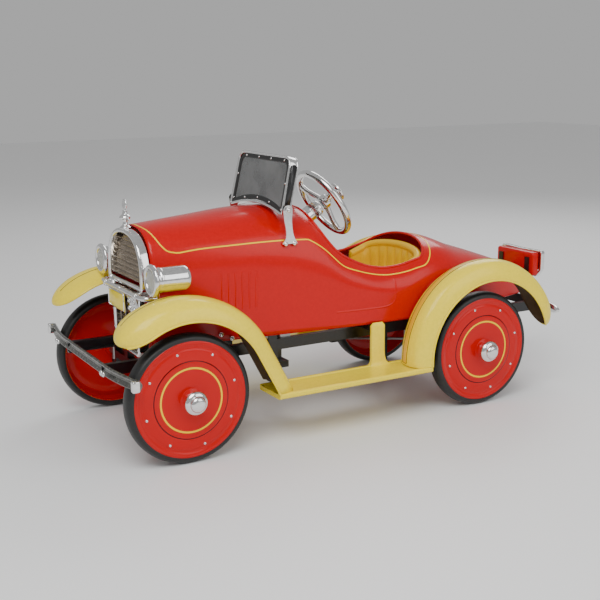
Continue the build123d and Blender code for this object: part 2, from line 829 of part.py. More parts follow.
cap_y = hood_y - shell_depth / 2 - 3
with BuildPart() as radiator_cap:
    for radius, z0, z1 in ((10, -2, 4), (4.5, 4, 19), (11, 19, 24), (5, 24, 36)):
        round_bar((0, cap_y, shell_crown + z0), (0, cap_y, shell_crown + z1), radius)
    block(-17, 17, cap_y - 2.5, cap_y + 2.5, shell_crown + 19.5, shell_crown + 23.5)
    dial_z = shell_crown + 36 + dial_r
    round_bar((0, cap_y - 4, dial_z), (0, cap_y + 4, dial_z), dial_r)
    round_bar((0, cap_y - 4, dial_z), (0, cap_y - 2, dial_z), dial_r - 3, mode=Mode.SUBTRACT)
keep(radiator_cap.part, "radiator_cap")

bar_y = shell_y - bar_r - 1.5
with BuildPart() as lamp_bar:
    round_bar((-bar_reach, bar_y, bar_z), (bar_reach, bar_y, bar_z), bar_r)
    for side in (1, -1):
        x = side * bar_reach
        with Locations((x, bar_y, bar_z), (x, bar_y + 28, bar_z)):
            Sphere(bar_r)
        round_bar((x, bar_y, bar_z), (x, bar_y + 28, bar_z), bar_r)
        round_bar((x, bar_y + 28, bar_z), (x, bar_y + 28, lamp_z - 8), bar_r)
keep(lamp_bar.part, "lamp_bar")

bezel_t = 9.0
lamp_y = shell_y - 1.0
lamp_wall = 2.0
lamp_front = Plane(origin=(lamp_x, lamp_y + bezel_t, lamp_z), x_dir=(1, 0, 0), z_dir=(0, 1, 0))
with BuildPart() as headlamp_shell:
    extrude(disc(lamp_front, lamp_r), amount=lamp_len - bezel_t)
    fillet(headlamp_shell.edges().sort_by(Axis.Y)[-1], 6)
    extrude(disc(lamp_front, lamp_r - lamp_wall), amount=lamp_len - bezel_t - 6, mode=Mode.SUBTRACT)
keep(both_sides(headlamp_shell.part), "headlamp_shells")

with BuildPart() as headlamp_bezel:
    extrude(disc(lamp_front.offset(-bezel_t), bezel_r, lamp_r - lamp_wall), amount=bezel_t)
    fillet(headlamp_bezel.edges().filter_by(GeomType.CIRCLE).sort_by(SortBy.RADIUS)[-2:], 3)
keep(both_sides(headlamp_bezel.part), "headlamp_bezels")

with BuildPart() as headlamp_lens:
    extrude(disc(lamp_front.offset(-bezel_t + 2), lamp_r - lamp_wall), amount=3)
keep(both_sides(headlamp_lens.part), "headlamp_lenses")

with BuildPart() as number_plate:
    block(-72, 18, bar_y - 1, bar_y + 1, bar_z - bar_r - 39, bar_z - bar_r)
keep(number_plate.part, "number_plate")

with BuildPart() as mount_plate:
    block(26, 74, shell_y - 4, shell_y, bar_z - 56, bar_z - bar_r - 1)
    for x in (38, 62):
        for i in range(3):
            with Locations((x, shell_y - 4, bar_z - 46 + 15 * i)):
                Sphere(4.5)
keep(mount_plate.part, "mount_plate")

# ================================================================ bumpers
bumper_y = -length / 2 + bolt_head
with BuildPart() as front_bumper:
    plan = polygon(
        Plane.XY.offset(bumper_z - bumper_h / 2),
        (-bumper_half, bumper_y + bumper_sweep),
        (-bumper_bend_x, bumper_y),
        (bumper_bend_x, bumper_y),
        (bumper_half, bumper_y + bumper_sweep),
        (bumper_half, bumper_y + bumper_sweep + bumper_t),
        (bumper_bend_x, bumper_y + bumper_t),
        (-bumper_bend_x, bumper_y + bumper_t),
        (-bumper_half, bumper_y + bumper_sweep + bumper_t),
    )
    extrude(plan, amount=bumper_h)
keep(front_bumper.part, "front_bumper")

rear_face = length / 2 - 5.0
with BuildPart() as rear_bumper:
    plan = polygon(
        Plane.XY.offset(rear_bumper_z - bumper_h / 2),
        (-rear_bumper_half, rear_face - bumper_sweep),
        (-110, rear_face),
        (110, rear_face),
        (rear_bumper_half, rear_face - bumper_sweep),
        (rear_bumper_half, rear_face - bumper_sweep - bumper_t),
        (110, rear_face - bumper_t),
        (-110, rear_face - bumper_t),
        (-rear_bumper_half, rear_face - bumper_sweep - bumper_t),
    )
    extrude(plan, amount=bumper_h)
keep(rear_bumper.part, "rear_bumper")

# ================================================================ tail tank
with BuildPart() as fuel_tank:
    block(-tank_half, tank_half, tank_y, tank_y + tank_depth, tank_z0, tank_z1)
    fillet(fuel_tank.edges().filter_by(Axis.Y), 8)
keep(fuel_tank.part, "fuel_tank")

with BuildPart() as tank_trim:
    block(-tank_half - 6, tank_half + 6, tank_y + tank_depth, length / 2, tank_z0 - 3, tank_z1 + 2)
    chamfer(tank_trim.edges().filter_by(Axis.Y).group_by(Axis.Z)[0], 16)
keep(tank_trim.part, "tank_trim")

# ================================================================ windshield
rake = radians(screen_rake)
screen = Plane(origin=(0, screen_y, screen_z), x_dir=(1, 0, 0), z_dir=(0, -cos(rake), sin(rake)))
corner_r = 14.0


def screen_outline(inset, front):
    """The windshield's outline, inset all round, with an arched lower edge."""
    half = screen_half - inset
    top = screen_h - inset
    with BuildSketch(screen.offset(front)) as shape:
        with BuildLine():
            ThreePointArc((-half, inset), (0, screen_arch + inset), (half, inset))
            Polyline((half, inset), (half - 3, top), (-half + 3, top), (-half, inset))
        make_face()
        fillet(shape.vertices().group_by(Axis.Y)[-1], corner_r - inset / 2)
    return shape.sketch


with BuildPart() as windshield_frame:
    extrude(screen_outline(0, 0), amount=-screen_depth)
    extrude(screen_outline(screen_band, 0), amount=-screen_depth, mode=Mode.SUBTRACT)
keep(windshield_frame.part, "windshield_frame")

gasket_t = 6.0
with BuildPart() as windshield_gasket:
    extrude(screen_outline(screen_band, -2), amount=-gasket_t)
    extrude(screen_outline(screen_band + gasket_w, -2), amount=-gasket_t, mode=Mode.SUBTRACT)
keep(windshield_gasket.part, "windshield_gasket")

with BuildPart() as windshield_glass:
    extrude(screen_outline(screen_band + gasket_w, -3.5), amount=-glass_t)
keep(windshield_glass.part, "windshield_glass")

strap_x = screen_half + 4.0
strap_t = 3.0
nut_y = screen_y + 12
nut_z = screen_z + 12
foot_y = screen_y + 17
foot_z1 = screen_z - 50
with BuildPart() as strap:
    outline = polygon(
        Plane.YZ.offset(strap_x),
        (nut_y - 9, nut_z + 8),
        (nut_y + 9, nut_z + 8),
        (foot_y + 9, foot_z1),
        (foot_y + 16, foot_z1),
        (foot_y + 16, foot_z1 - 14),
        (foot_y - 16, foot_z1 - 14),
        (foot_y - 16, foot_z1),
        (foot_y - 9, foot_z1),
    )
    extrude(outline, amount=strap_t)
keep(both_sides(strap.part), "windshield_brackets")

with BuildPart() as dome_bolts:
    outer = strap_x + strap_t
    for y in (foot_y - 10, foot_y + 10):
        round_bar((outer, y, foot_z1 - 7), (outer + 4, y, foot_z1 - 7), bolt_r)
    round_bar((screen_half, nut_y, nut_z), (strap_x, nut_y, nut_z), bolt_r)
    round_bar((outer, nut_y, nut_z), (outer + 8, nut_y, nut_z), bolt_r)
    for dy, z in ((116, 215), (140, 204)):
        round_bar((106, front_y + dy, z), (116, front_y + dy, z), bolt_r)
    for x in (bumper_bend_x - 17, bumper_bend_x - 5):
        round_bar((x, -length / 2, bumper_z), (x, bumper_y, bumper_z), bolt_r)
keep(both_sides(dome_bolts.part), "dome_bolts")
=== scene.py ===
"""Looks for a ride-on pedal car: enamelled body and fenders, plated fittings and a fluted tub seat.

Every length is in metres, in the frame of the packed model: +Z up, nose towards -Y, left side +X.
"""

import math

import bmesh
import bpy
import numpy as np
from bpy.props import FloatProperty, FloatVectorProperty, IntProperty, PointerProperty
from mathutils import Matrix, Vector


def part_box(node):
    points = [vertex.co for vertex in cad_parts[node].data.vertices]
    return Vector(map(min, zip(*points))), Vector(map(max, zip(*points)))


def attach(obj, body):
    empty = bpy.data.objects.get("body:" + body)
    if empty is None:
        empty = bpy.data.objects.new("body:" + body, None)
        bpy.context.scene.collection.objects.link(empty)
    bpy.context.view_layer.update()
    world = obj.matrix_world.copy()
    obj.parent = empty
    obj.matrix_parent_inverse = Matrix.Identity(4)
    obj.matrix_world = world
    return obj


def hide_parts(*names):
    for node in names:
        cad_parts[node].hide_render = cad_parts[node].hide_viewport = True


bl_info = {
    "name": "Pedal car",
    "version": (1, 0, 0),
    "blender": (4, 5, 0),
    "location": "View3D > Sidebar > Pedal car",
    "description": "Builds the visible pieces of a ride-on pedal car around its packed frame",
    "category": "Add Mesh",
}

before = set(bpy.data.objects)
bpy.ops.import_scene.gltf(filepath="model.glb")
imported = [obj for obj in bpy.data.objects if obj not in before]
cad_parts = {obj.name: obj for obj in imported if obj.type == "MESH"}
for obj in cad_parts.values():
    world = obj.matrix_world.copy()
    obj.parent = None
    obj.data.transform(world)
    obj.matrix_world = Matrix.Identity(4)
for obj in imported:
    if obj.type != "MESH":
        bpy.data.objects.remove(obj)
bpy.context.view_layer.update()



def box_of(node):
    """The low and high corners of a node's box, as arrays."""
    return [np.array(corner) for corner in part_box(node)]


MM = 0.001
FRONT_Y = float(np.mean([box_of("tyre_front_left")[0][1], box_of("tyre_front_left")[1][1]]))
REAR_Y = float(np.mean([box_of("tyre_rear_left")[0][1], box_of("tyre_rear_left")[1][1]]))
TYRE_R = float(box_of("tyre_front_left")[1][2]) / 2
SIDES = {"left": 1, "right": -1}


# ---------------------------------------------------------------- mesh tools
class Shape:
    """Points and faces gathered for one piece, with a value per point for painted bands."""

    def __init__(self):
        self.points, self.faces, self.values, self.finishes = [], [], [], []
        self.count = 0

    def grid(self, p, wrap_rows=False, wrap_cols=False, value=0.0, finish=0):
        """Add a grid of points (rows, columns, 3) as quads, joined round where a wrap is asked."""
        rows, cols = p.shape[:2]
        i, j = np.meshgrid(
            np.arange(rows if wrap_rows else rows - 1),
            np.arange(cols if wrap_cols else cols - 1),
            indexing="ij",
        )
        k, m = (i + 1) % rows, (j + 1) % cols
        quads = np.stack([i * cols + j, k * cols + j, k * cols + m, i * cols + m], -1).reshape(-1, 4)
        self.add(p.reshape(-1, 3), quads, value, finish)
        return self

    def add(self, points, faces, value=0.0, finish=0):
        """Add points and faces as they are."""
        self.points.append(points)
        self.values.append(np.broadcast_to(np.asarray(value, float).reshape(-1), (len(points),)))
        self.faces.extend((np.asarray(faces) + self.count).tolist())
        self.finishes.extend([finish] * len(faces))
        self.count += len(points)
        return self

    def turned(self, profile, centre, axis, count=72, finish=0):
        """Add a profile of (along the axis, radius) points turned about the axis."""
        return self.grid(lathe(profile, centre, axis, count), wrap_cols=True, finish=finish)

    def merge(self, other):
        """Take in everything another shape holds."""
        for face, finish in zip(other.faces, other.finishes):
            self.faces.append([k + self.count for k in face])
            self.finishes.append(finish)
        self.points.extend(other.points)
        self.values.extend(other.values)
        self.count += other.count
        return self

    def cap(self, ring, finish=0, value=0.0):
        """Close a ring of points with a fan of triangles round its middle."""
        n = len(ring)
        i = np.arange(n)
        fan = np.stack([i, (i + 1) % n, np.full(n, n)], -1)
        self.add(np.vstack([ring, ring.mean(axis=0)]), fan, value, finish)
        return self

    def tube(self, rings, finish=0, closed=False):
        """Add rings (n, m, 3) joined in order, closed round the path or capped at both ends."""
        self.grid(rings, wrap_rows=closed, wrap_cols=True, finish=finish)
        if not closed:
            self.cap(rings[0], finish)
            self.cap(rings[-1], finish)
        return self


def unit(v):
    """Vectors scaled to length one along the last axis."""
    return v / np.maximum(np.linalg.norm(v, axis=-1, keepdims=True), 1e-12)


def smooth_curve(points, count, closed=False):
    """A curve through the points: cubic pieces with each slope taken from the two neighbours."""
    p = np.asarray(points, float)
    if closed:
        p = np.vstack([p[-1:], p, p[:2]])
    else:
        p = np.vstack([2 * p[0] - p[1], p, 2 * p[-1] - p[-2]])
    pieces = len(p) - 3
    s = np.linspace(0, pieces, count, endpoint=not closed)
    i = np.minimum(s.astype(int), pieces - 1)
    t = (s - i)[:, None]
    a, b, c, d = p[i], p[i + 1], p[i + 2], p[i + 3]
    return 0.5 * (2 * b + (c - a) * t + (2 * a - 5 * b + 4 * c - d) * t**2 + (3 * b - a - 3 * c + d) * t**3)


def even(points, count):
    """The same polyline with its points evenly spaced along it."""
    p = np.asarray(points, float)
    s = np.r_[0, np.cumsum(np.linalg.norm(np.diff(p, axis=0), axis=1))]
    t = np.linspace(0, s[-1], count)
    return np.stack([np.interp(t, s, p[:, k]) for k in range(p.shape[1])], -1)


def through(xs, ys, x):
    """A smooth function through the given places, with slopes from the neighbours."""
    xs, ys, x = np.asarray(xs, float), np.asarray(ys, float), np.asarray(x, float)
    slope = np.gradient(ys, xs)
    i = np.clip(np.searchsorted(xs, x) - 1, 0, len(xs) - 2)
    h = xs[i + 1] - xs[i]
    t = np.clip((x - xs[i]) / h, 0, 1)
    return (
        (2 * t**3 - 3 * t**2 + 1) * ys[i]
        + (t**3 - 2 * t**2 + t) * h * slope[i]
        + (3 * t**2 - 2 * t**3) * ys[i + 1]
        + (t**3 - t**2) * h * slope[i + 1]
    )


def carry(path, section, up, closed=False):
    """Rings of a flat section (sideways, upwards) carried along a path; up may differ per point."""
    path = np.asarray(path, float)
    if closed:
        ahead = np.roll(path, -1, 0) - np.roll(path, 1, 0)
    else:
        ahead = np.gradient(path, axis=0)
    ahead = unit(ahead)
    up = np.broadcast_to(np.asarray(up, float), path.shape)
    side = unit(np.cross(ahead, up))
    rise = unit(np.cross(side, ahead))
    section = np.asarray(section, float)
    if section.ndim == 2:
        section = np.broadcast_to(section, (len(path), *section.shape))
    return path[:, None] + section[..., :1] * side[:, None] + section[..., 1:] * rise[:, None]


def circle(radius, count=16, squash=1.0):
    """A round section, flattened upwards where squash is below one."""
    a = np.linspace(0, 2 * np.pi, count, endpoint=False)
    return np.stack([radius * np.cos(a), radius * squash * np.sin(a)], -1)


def round_box(half_x, half_y, corner, per_corner=5):
    """A rectangle's outline with rounded corners, as a section."""
    a = np.linspace(0, np.pi / 2, per_corner)
    turns = a[None] + np.arange(4)[:, None] * np.pi / 2
    signs = np.array([[1, 1], [-1, 1], [-1, -1], [1, -1]])
    middle = signs * np.array([half_x - corner, half_y - corner])
    arcs = middle[:, None] + corner * np.stack([np.cos(turns), np.sin(turns)], -1)
    return arcs.reshape(-1, 2)


def lathe(profile, centre, axis, count=72):
    """Turn a profile of (along the axis, radius) points about the axis through the centre."""
    axis = unit(np.asarray(axis, float))
    other = np.array([0.0, 0, 1]) if abs(axis[2]) < 0.9 else np.array([0.0, 1, 0])
    u = unit(np.cross(other, axis))
    v = np.cross(axis, u)
    a = np.linspace(0, 2 * np.pi, count, endpoint=False)
    out = np.cos(a)[:, None] * u + np.sin(a)[:, None] * v
    profile = np.asarray(profile, float)
    return np.asarray(centre) + profile[:, None, :1] * axis + profile[:, None, 1:] * out[None]


def rounded(profile, radius=0.001, count=4):
    """A profile whose inner corners are rounded: each becomes a short quadratic curve."""
    p = np.asarray(profile, float)
    if radius <= 0:
        return p
    before, here, after = p[:-2], p[1:-1], p[2:]
    back, ahead = before - here, after - here
    lb, la = np.linalg.norm(back, axis=1), np.linalg.norm(ahead, axis=1)
    r = np.minimum(radius, 0.45 * np.minimum(lb, la))[:, None]
    start, end = here + unit(back) * r, here + unit(ahead) * r
    t = np.linspace(0, 1, count)[None, :, None]
    arc = (1 - t) ** 2 * start[:, None] + 2 * t * (1 - t) * here[:, None] + t**2 * end[:, None]
    return np.vstack([p[:1], arc.reshape(-1, 2), p[-1:]])


def dome(shape, centre, axis, radius, height, finish=0, count=20):
    """Add a closed domed head: a quarter ellipse turned about its axis."""
    a = np.linspace(0, np.pi / 2, 6)
    profile = np.stack([height * np.sin(a), radius * np.cos(a)], -1)
    profile = np.vstack([[-0.3 * height, 0], [-0.3 * height, radius], profile])
    return shape.turned(profile, centre, axis, count, finish=finish)


def rounded_block(shape, low, high, corner, finish=0, steps=4):
    """Add a box with rounded edges: a ball's surface pulled apart to the box's eight corners."""
    low, high = np.asarray(low, float), np.asarray(high, float)
    turns = np.concatenate([np.linspace(q, q + 1, steps) for q in range(4)]) * np.pi / 2
    tilts = np.concatenate([np.linspace(-1, 0, steps), np.linspace(0, 1, steps)]) * np.pi / 2
    sx = np.repeat([1, -1, -1, 1], steps)
    sy = np.repeat([1, 1, -1, -1], steps)
    sz = np.repeat([-1, 1], steps)
    n = np.stack(
        [
            np.cos(tilts)[:, None] * np.cos(turns),
            np.cos(tilts)[:, None] * np.sin(turns),
            np.broadcast_to(np.sin(tilts)[:, None], (len(tilts), len(turns))),
        ],
        -1,
    )
    signs = np.stack(
        [
            np.broadcast_to(sx, n.shape[:2]), np.broadcast_to(sy, n.shape[:2]),
            np.repeat(sz[:, None], len(turns), 1),
        ],
        -1,
    )
    p = (low + high) / 2 + signs * ((high - low) / 2 - corner) + corner * n
    shape.grid(p, wrap_cols=True, finish=finish)
    shape.cap(p[0], finish)
    shape.cap(p[-1], finish)
    return shape


def mirrored(shape):
    """The same shape on the car's other side."""
    twin = Shape()
    twin.points = [p * np.array([-1.0, 1, 1]) for p in shape.points]
    twin.faces = [list(reversed(f)) for f in shape.faces]
    twin.values, twin.finishes, twin.count = list(shape.values), list(shape.finishes), shape.count
    return twin


def piece(name, shape, finishes, body, replaces=(), wall=None, inside=0, sharp=42):
    """Turn a gathered shape into a finished piece that rides on a body and stands for its nodes."""
    mesh = bpy.data.meshes.new(name)
    mesh.from_pydata(np.vstack(shape.points).tolist(), [], shape.faces)
    mesh.attributes.new("band", "FLOAT", "POINT").data.foreach_set(
        "value", np.concatenate(shape.values).astype(np.float32)
    )
    for finish in finishes:
        mesh.materials.append(finish_of(finish))
    mesh.polygons.foreach_set("material_index", np.array(shape.finishes, dtype=np.int32))
    work = bmesh.new()
    work.from_mesh(mesh)
    bmesh.ops.remove_doubles(work, verts=work.verts, dist=2e-6)
    bmesh.ops.dissolve_degenerate(work, edges=work.edges, dist=1e-6)
    bmesh.ops.recalc_face_normals(work, faces=work.faces)
    work.to_mesh(mesh)
    work.free()
    mesh.shade_smooth()
    mesh.set_sharp_from_angle(angle=math.radians(sharp))
    obj = bpy.data.objects.new(name, mesh)
    bpy.context.scene.collection.objects.link(obj)
    if wall:
        solid = obj.modifiers.new("wall", "SOLIDIFY")
        solid.thickness = wall
        solid.offset = -1
        solid.use_even_offset = False
        solid.material_offset = inside
        solid.material_offset_rim = 0
    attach(obj, body)
    if replaces:
        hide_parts(*replaces)
    return obj


# ---------------------------------------------------------------- finishes
def new_finish(name, colour, **inputs):
    """An empty material with its shader's constant inputs set. Returns it with its nodes."""
    made = bpy.data.materials.new(name)
    made.use_nodes = True
    tree = made.node_tree
    shader = tree.nodes["Principled BSDF"]
    shader.inputs["Base Color"].default_value = (*colour, 1)
    for key, value in inputs.items():
        shader.inputs[key.replace("_", " ")].default_value = value
    return made, tree, shader


def grain(tree, shader, scale, strength, distance, detail=4.0, stretch=(1, 1, 1)):
    """Surface relief: soft noise on Object coordinates feeding a bump."""
    where = tree.nodes.new("ShaderNodeTexCoord")
    turn = tree.nodes.new("ShaderNodeMapping")
    turn.inputs["Scale"].default_value = stretch
    noise = tree.nodes.new("ShaderNodeTexNoise")
    noise.inputs["Scale"].default_value = scale
    noise.inputs["Detail"].default_value = detail
    bump = tree.nodes.new("ShaderNodeBump")
    bump.inputs["Strength"].default_value = strength
    bump.inputs["Distance"].default_value = distance
    tree.links.new(where.outputs["Object"], turn.inputs["Vector"])
    tree.links.new(turn.outputs["Vector"], noise.inputs["Vector"])
    tree.links.new(noise.outputs["Fac"], bump.inputs["Height"])
    tree.links.new(bump.outputs["Normal"], shader.inputs["Normal"])
    return noise


def vary(tree, shader, noise, dark, light, low, high):
    """Colour between two shades and roughness between two values, both following the noise."""
    ramp = tree.nodes.new("ShaderNodeValToRGB")
    ramp.color_ramp.elements[0].position = 0.3
    ramp.color_ramp.elements[1].position = 0.7
    ramp.color_ramp.elements[0].color = (*dark, 1)
    ramp.color_ramp.elements[1].color = (*light, 1)
    spread = tree.nodes.new("ShaderNodeMapRange")
    spread.inputs["From Min"].default_value = 0.3
    spread.inputs["From Max"].default_value = 0.7
    spread.inputs["To Min"].default_value = low
    spread.inputs["To Max"].default_value = high
    tree.links.new(noise.outputs["Fac"], ramp.inputs["Fac"])
    tree.links.new(noise.outputs["Fac"], spread.inputs["Value"])
    tree.links.new(ramp.outputs["Color"], shader.inputs["Base Color"])
    tree.links.new(spread.outputs["Result"], shader.inputs["Roughness"])
    return ramp


def shade(colour, factor):
    """A colour made lighter or darker."""
    return tuple(min(c * factor, 1.0) for c in colour)


# Clear coat, fine orange peel, and a slow drift of shade and roughness, shared by all sprayed enamel.
ENAMEL = (
    {"Coat_Weight": 0.12, "Coat_Roughness": 0.05, "Specular_IOR_Level": 0.25},
    (160, 0.05, 0.0003),
    (0.96, 1.04),
    (0.2, 0.27),
)
METAL = {"Metallic": 1.0}
GREY = (1.0, 1.0, 1.0)

# Each finish holds its slot; its colour, or the name of the panel's colour; the shader's inputs; the
# relief (scale, strength, distance, detail, stretch); the darkest and lightest shade, as colours or
# as factors of the colour; and the roughness from smooth to dull.
FINISHES = {
    # Painted surfaces
    "body_red": ("red_paint", "body", *ENAMEL),
    "wheel_red": ("red_paint", "body", *ENAMEL),
    "fender_cream": ("cream_paint", "fender", *ENAMEL),
    "fender_band": ("cream_paint", "band", *ENAMEL),
    "line_yellow": ("cream_paint", "lining", *ENAMEL),
    "line_black": ("black_paint", (0.03, 0.012, 0.01), *ENAMEL),
    # Dark brown inside the fenders
    "fender_lining": (
        "cream_paint", (0.09, 0.045, 0.008), {}, (70, 0.15, 0.0006),
        ((0.07, 0.035, 0.006), (0.11, 0.055, 0.01)), (0.45, 0.6),
    ),
    # Semi-gloss chassis paint
    "black_enamel": (
        "black_paint", (0.006, 0.006, 0.007), {"Coat_Weight": 0.2, "Coat_Roughness": 0.15},
        (120, 0.1, 0.0004), ((0.004, 0.004, 0.005), (0.012, 0.012, 0.013)), (0.28, 0.42),
    ),
    # Bright plate with faint polishing marks and a little haze
    "chrome": (
        "chrome", shade(GREY, 0.8), METAL, (90, 0.06, 0.0003, 4.0, (1, 1, 3)),
        (shade(GREY, 0.72), (0.86, 0.86, 0.85)), (0.05, 0.14),
    ),
    # Smoked plate of the front bumper
    "dark_chrome": (
        "chrome", (0.16, 0.16, 0.15), {"Metallic": 0.9}, (140, 0.12, 0.0004),
        ((0.1, 0.1, 0.095), (0.22, 0.22, 0.2)), (0.16, 0.3),
    ),
    # Dull nickel of the radiator's louvres
    "grille_plate": (
        "grille_metal", (0.3, 0.25, 0.2), METAL, (90, 0.05, 0.0003),
        ((0.42, 0.37, 0.31), (0.56, 0.5, 0.43)), (0.16, 0.24),
    ),
    # Plain turned steel with fine marks along it
    "bare_steel": (
        "steel", (0.4, 0.4, 0.39), METAL, (200, 0.2, 0.0003, 4.0, (1, 6, 6)),
        ((0.3, 0.3, 0.29), (0.48, 0.48, 0.47)), (0.3, 0.45),
    ),
    # Solid tyre rubber, slightly shiny
    "tyre_rubber": (
        "tyre", shade(GREY, 0.01), {}, (240, 0.25, 0.0004),
        (shade(GREY, 0.006), (0.017, 0.017, 0.016)), (0.38, 0.52),
    ),
    # Matt rubber of the gasket and the collar
    "black_rubber": (
        "black_rubber", shade(GREY, 0.008), {}, (300, 0.2, 0.0003),
        (shade(GREY, 0.005), shade(GREY, 0.013)), (0.3, 0.42),
    ),
    # Smooth vinyl with a fine leather grain
    "seat_yellow": (
        "seat_vinyl", "seat", {"Sheen_Weight": 0.05, "Specular_IOR_Level": 0.4},
        (900, 0.12, 0.0003, 6), (0.93, 1.05), (0.3, 0.42),
    ),
    # Grey-tinted glass
    "screen_glass": (
        "glass", (0.2, 0.21, 0.22), {"Transmission_Weight": 0.35, "IOR": 1.5, "Metallic": 0.35},
        (25, 0.02, 0.0002), ((0.17, 0.18, 0.18), (0.27, 0.28, 0.28)), (0.03, 0.08),
    ),
    # Pressed lamp glass
    "lens_glass": (
        "lens", (0.75, 0.75, 0.72), {"Transmission_Weight": 0.6, "IOR": 1.45},
        (60, 0.05, 0.0003), ((0.7, 0.7, 0.67), (0.8, 0.8, 0.77)), (0.05, 0.12),
    ),
}
made_finishes = {}


def finish_of(name):
    """The named finish, made the first time it is asked for."""
    if name in made_finishes:
        return made_finishes[name]
    _, colour, inputs, relief, (dark, light), (smooth, dull) = FINISHES[name]
    if isinstance(colour, str):
        colour = getattr(bpy.context.scene.pedal_car_paint, colour)
    if isinstance(dark, float):
        dark, light = shade(colour, dark), shade(colour, light)
    made, tree, shader = new_finish(name, colour, **inputs)
    vary(tree, shader, grain(tree, shader, *relief), dark, light, smooth, dull)
    if name == "wheel_red":
        paint_ring_and_step_shade(tree, shader, colour)
    made_finishes[name] = made
    return made


def paint_ring_and_step_shade(tree, shader, colour):
    """A painted yellow ring, and a thin black ring of painted shade where the raised ring line steps up, by
    radius as a share of the rim's.
    """
    radius = tree.nodes.new("ShaderNodeAttribute")
    radius.attribute_name = "band"
    rings = tree.nodes.new("ShaderNodeValToRGB")
    rings.color_ramp.interpolation = "CONSTANT"
    # black here is the colour of painted shade along the step of the raised ring line, not a pinstripe.
    red, black = (*colour, 1), (0.02, 0.002, 0.002, 1)
    yellow = (*bpy.context.scene.pedal_car_paint.lining, 1)
    stops = rings.color_ramp.elements
    stops[0].color = red
    stops[1].position, stops[1].color = 0.527, yellow
    # The black stop from 0.652 to 0.667 is painted shade: it darkens the disc along the raised ring line's
    # step.
    for place, paint in ((0.558, red), (0.652, black), (0.667, red)):
        stops.new(place).color = paint
    tree.links.new(radius.outputs["Fac"], rings.inputs["Fac"])
    tree.links.new(rings.outputs["Color"], shader.inputs["Base Color"])


# ---------------------------------------------------------------- the body's surface
NOSE_Y = FRONT_Y - 20 * MM
TAIL_Y = float(box_of("body_shell")[1][1])
SILL_Z = float(box_of("body_shell")[0][2])
DASH_Y = FRONT_Y + 352 * MM

# Body stations: place along Y, half width, crown height, shoulder height, fullness of the arch.
STATIONS = np.array(
    [
        (NOSE_Y, 0.093, 0.433, 0.342, 0.66),
        (FRONT_Y + 0.100, 0.108, 0.444, 0.344, 0.66),
        (FRONT_Y + 0.221, 0.122, 0.454, 0.338, 0.66),
        (FRONT_Y + 0.291, 0.130, 0.452, 0.326, 0.64),
        (DASH_Y, 0.137, 0.442, 0.306, 0.58),
        (FRONT_Y + 0.401, 0.143, 0.396, 0.285, 0.55),
        (FRONT_Y + 0.451, 0.147, 0.354, 0.270, 0.61),
        (REAR_Y - 0.201, 0.149, 0.337, 0.260, 0.64),
        (REAR_Y - 0.151, 0.150, 0.338, 0.260, 0.64),
        (REAR_Y - 0.101, 0.148, 0.352, 0.266, 0.64),
        (REAR_Y - 0.051, 0.143, 0.361, 0.270, 0.64),
        (REAR_Y + 0.046, 0.124, 0.331, 0.256, 0.64),
        (REAR_Y + 0.138, 0.100, 0.301, 0.240, 0.64),
        (REAR_Y + 0.214, 0.077, 0.274, 0.226, 0.64),
        (TAIL_Y, 0.060, 0.256, 0.214, 0.64),
    ]
)
RIM_FRONT_Y = FRONT_Y + 0.347
RIM_FULL_Y = FRONT_Y + 0.434
RIM_ROUND_Y = REAR_Y - 0.104
RIM_END_Y = REAR_Y - 0.057
RIM_HALF = 0.116
RIM_POWER = 4.0


def arch_at(y, t):
    """Half of the body's arch: x and z at place y and share t, from the shoulder (0) to the crown (1).

    It is the cubic with its handles upright at the shoulder and level at the crown.
    """
    half, crown, shoulder, full = (through(STATIONS[:, 0], STATIONS[:, k], y) for k in (1, 2, 3, 4))
    s = 1 - t
    x = half * (s**3 + 3 * s**2 * t + 3 * full * s * t**2)
    z = shoulder + (crown - shoulder) * (3 * full * s**2 * t + 3 * s * t**2 + t**3)
    return x, z


def share_where(y, value, axis):
    """The share t at which the arch's x (axis 0) or z (axis 1) takes a value, by halving."""
    y, value = np.broadcast_arrays(np.asarray(y, float), np.asarray(value, float))
    low, high = np.zeros(y.shape), np.ones(y.shape)
    for _ in range(26):
        mid = (low + high) / 2
        here = arch_at(y, mid)[axis]
        beyond = here < value if axis == 0 else here > value
        high = np.where(beyond, mid, high)
        low = np.where(beyond, low, mid)
    return (low + high) / 2


def body_point(y, t, side=1):
    """A point of the body's skin; t below zero runs down the straight side, -1 being the sill."""
    y, t = np.broadcast_arrays(np.asarray(y, float), np.asarray(t, float))
    x, z = arch_at(y, np.clip(t, 0, 1))
    z = z + np.clip(t, -1, 0) * (z - SILL_Z)
    return np.stack([side * x, y, z], -1)


def body_normal(y, t, side=1):
    """The skin's outward direction, from its two slopes."""
    d = 1e-3
    along = body_point(y + d, t, side) - body_point(y - d, t, side)
    round_it = body_point(y, np.minimum(t + d, 1), side) - body_point(y, np.minimum(t + d, 1) - 2 * d, side)
    n = unit(np.cross(round_it, along)) * side
    return n * np.where((n * [side, 0, 0.6]).sum(-1, keepdims=True) < 0, -1, 1)


def rim_path(count=40, out=0.0):
    """The left half of the cockpit rim in plan, front to back, moved outwards by a distance.

    The front is a squarish superellipse and the back half an ellipse, joined by a straight side.
    """
    a = np.linspace(0, np.pi / 2, count)
    front = np.stack(
        [
            RIM_HALF * np.sin(a) ** (2 / RIM_POWER),
            RIM_FULL_Y - (RIM_FULL_Y - RIM_FRONT_Y) * np.cos(a) ** (2 / RIM_POWER),
        ],
        -1,
    )
    side = np.stack([np.full(count, RIM_HALF), np.linspace(RIM_FULL_Y, RIM_ROUND_Y, count)], -1)
    back = np.stack([RIM_HALF * np.cos(a), RIM_ROUND_Y + (RIM_END_Y - RIM_ROUND_Y) * np.sin(a)], -1)
    plan = np.vstack([front, side[1:-1], back])
    if out:
        ahead = unit(np.gradient(plan, axis=0))
        plan = plan + out * np.stack([ahead[:, 1], -ahead[:, 0]], -1)
    return plan


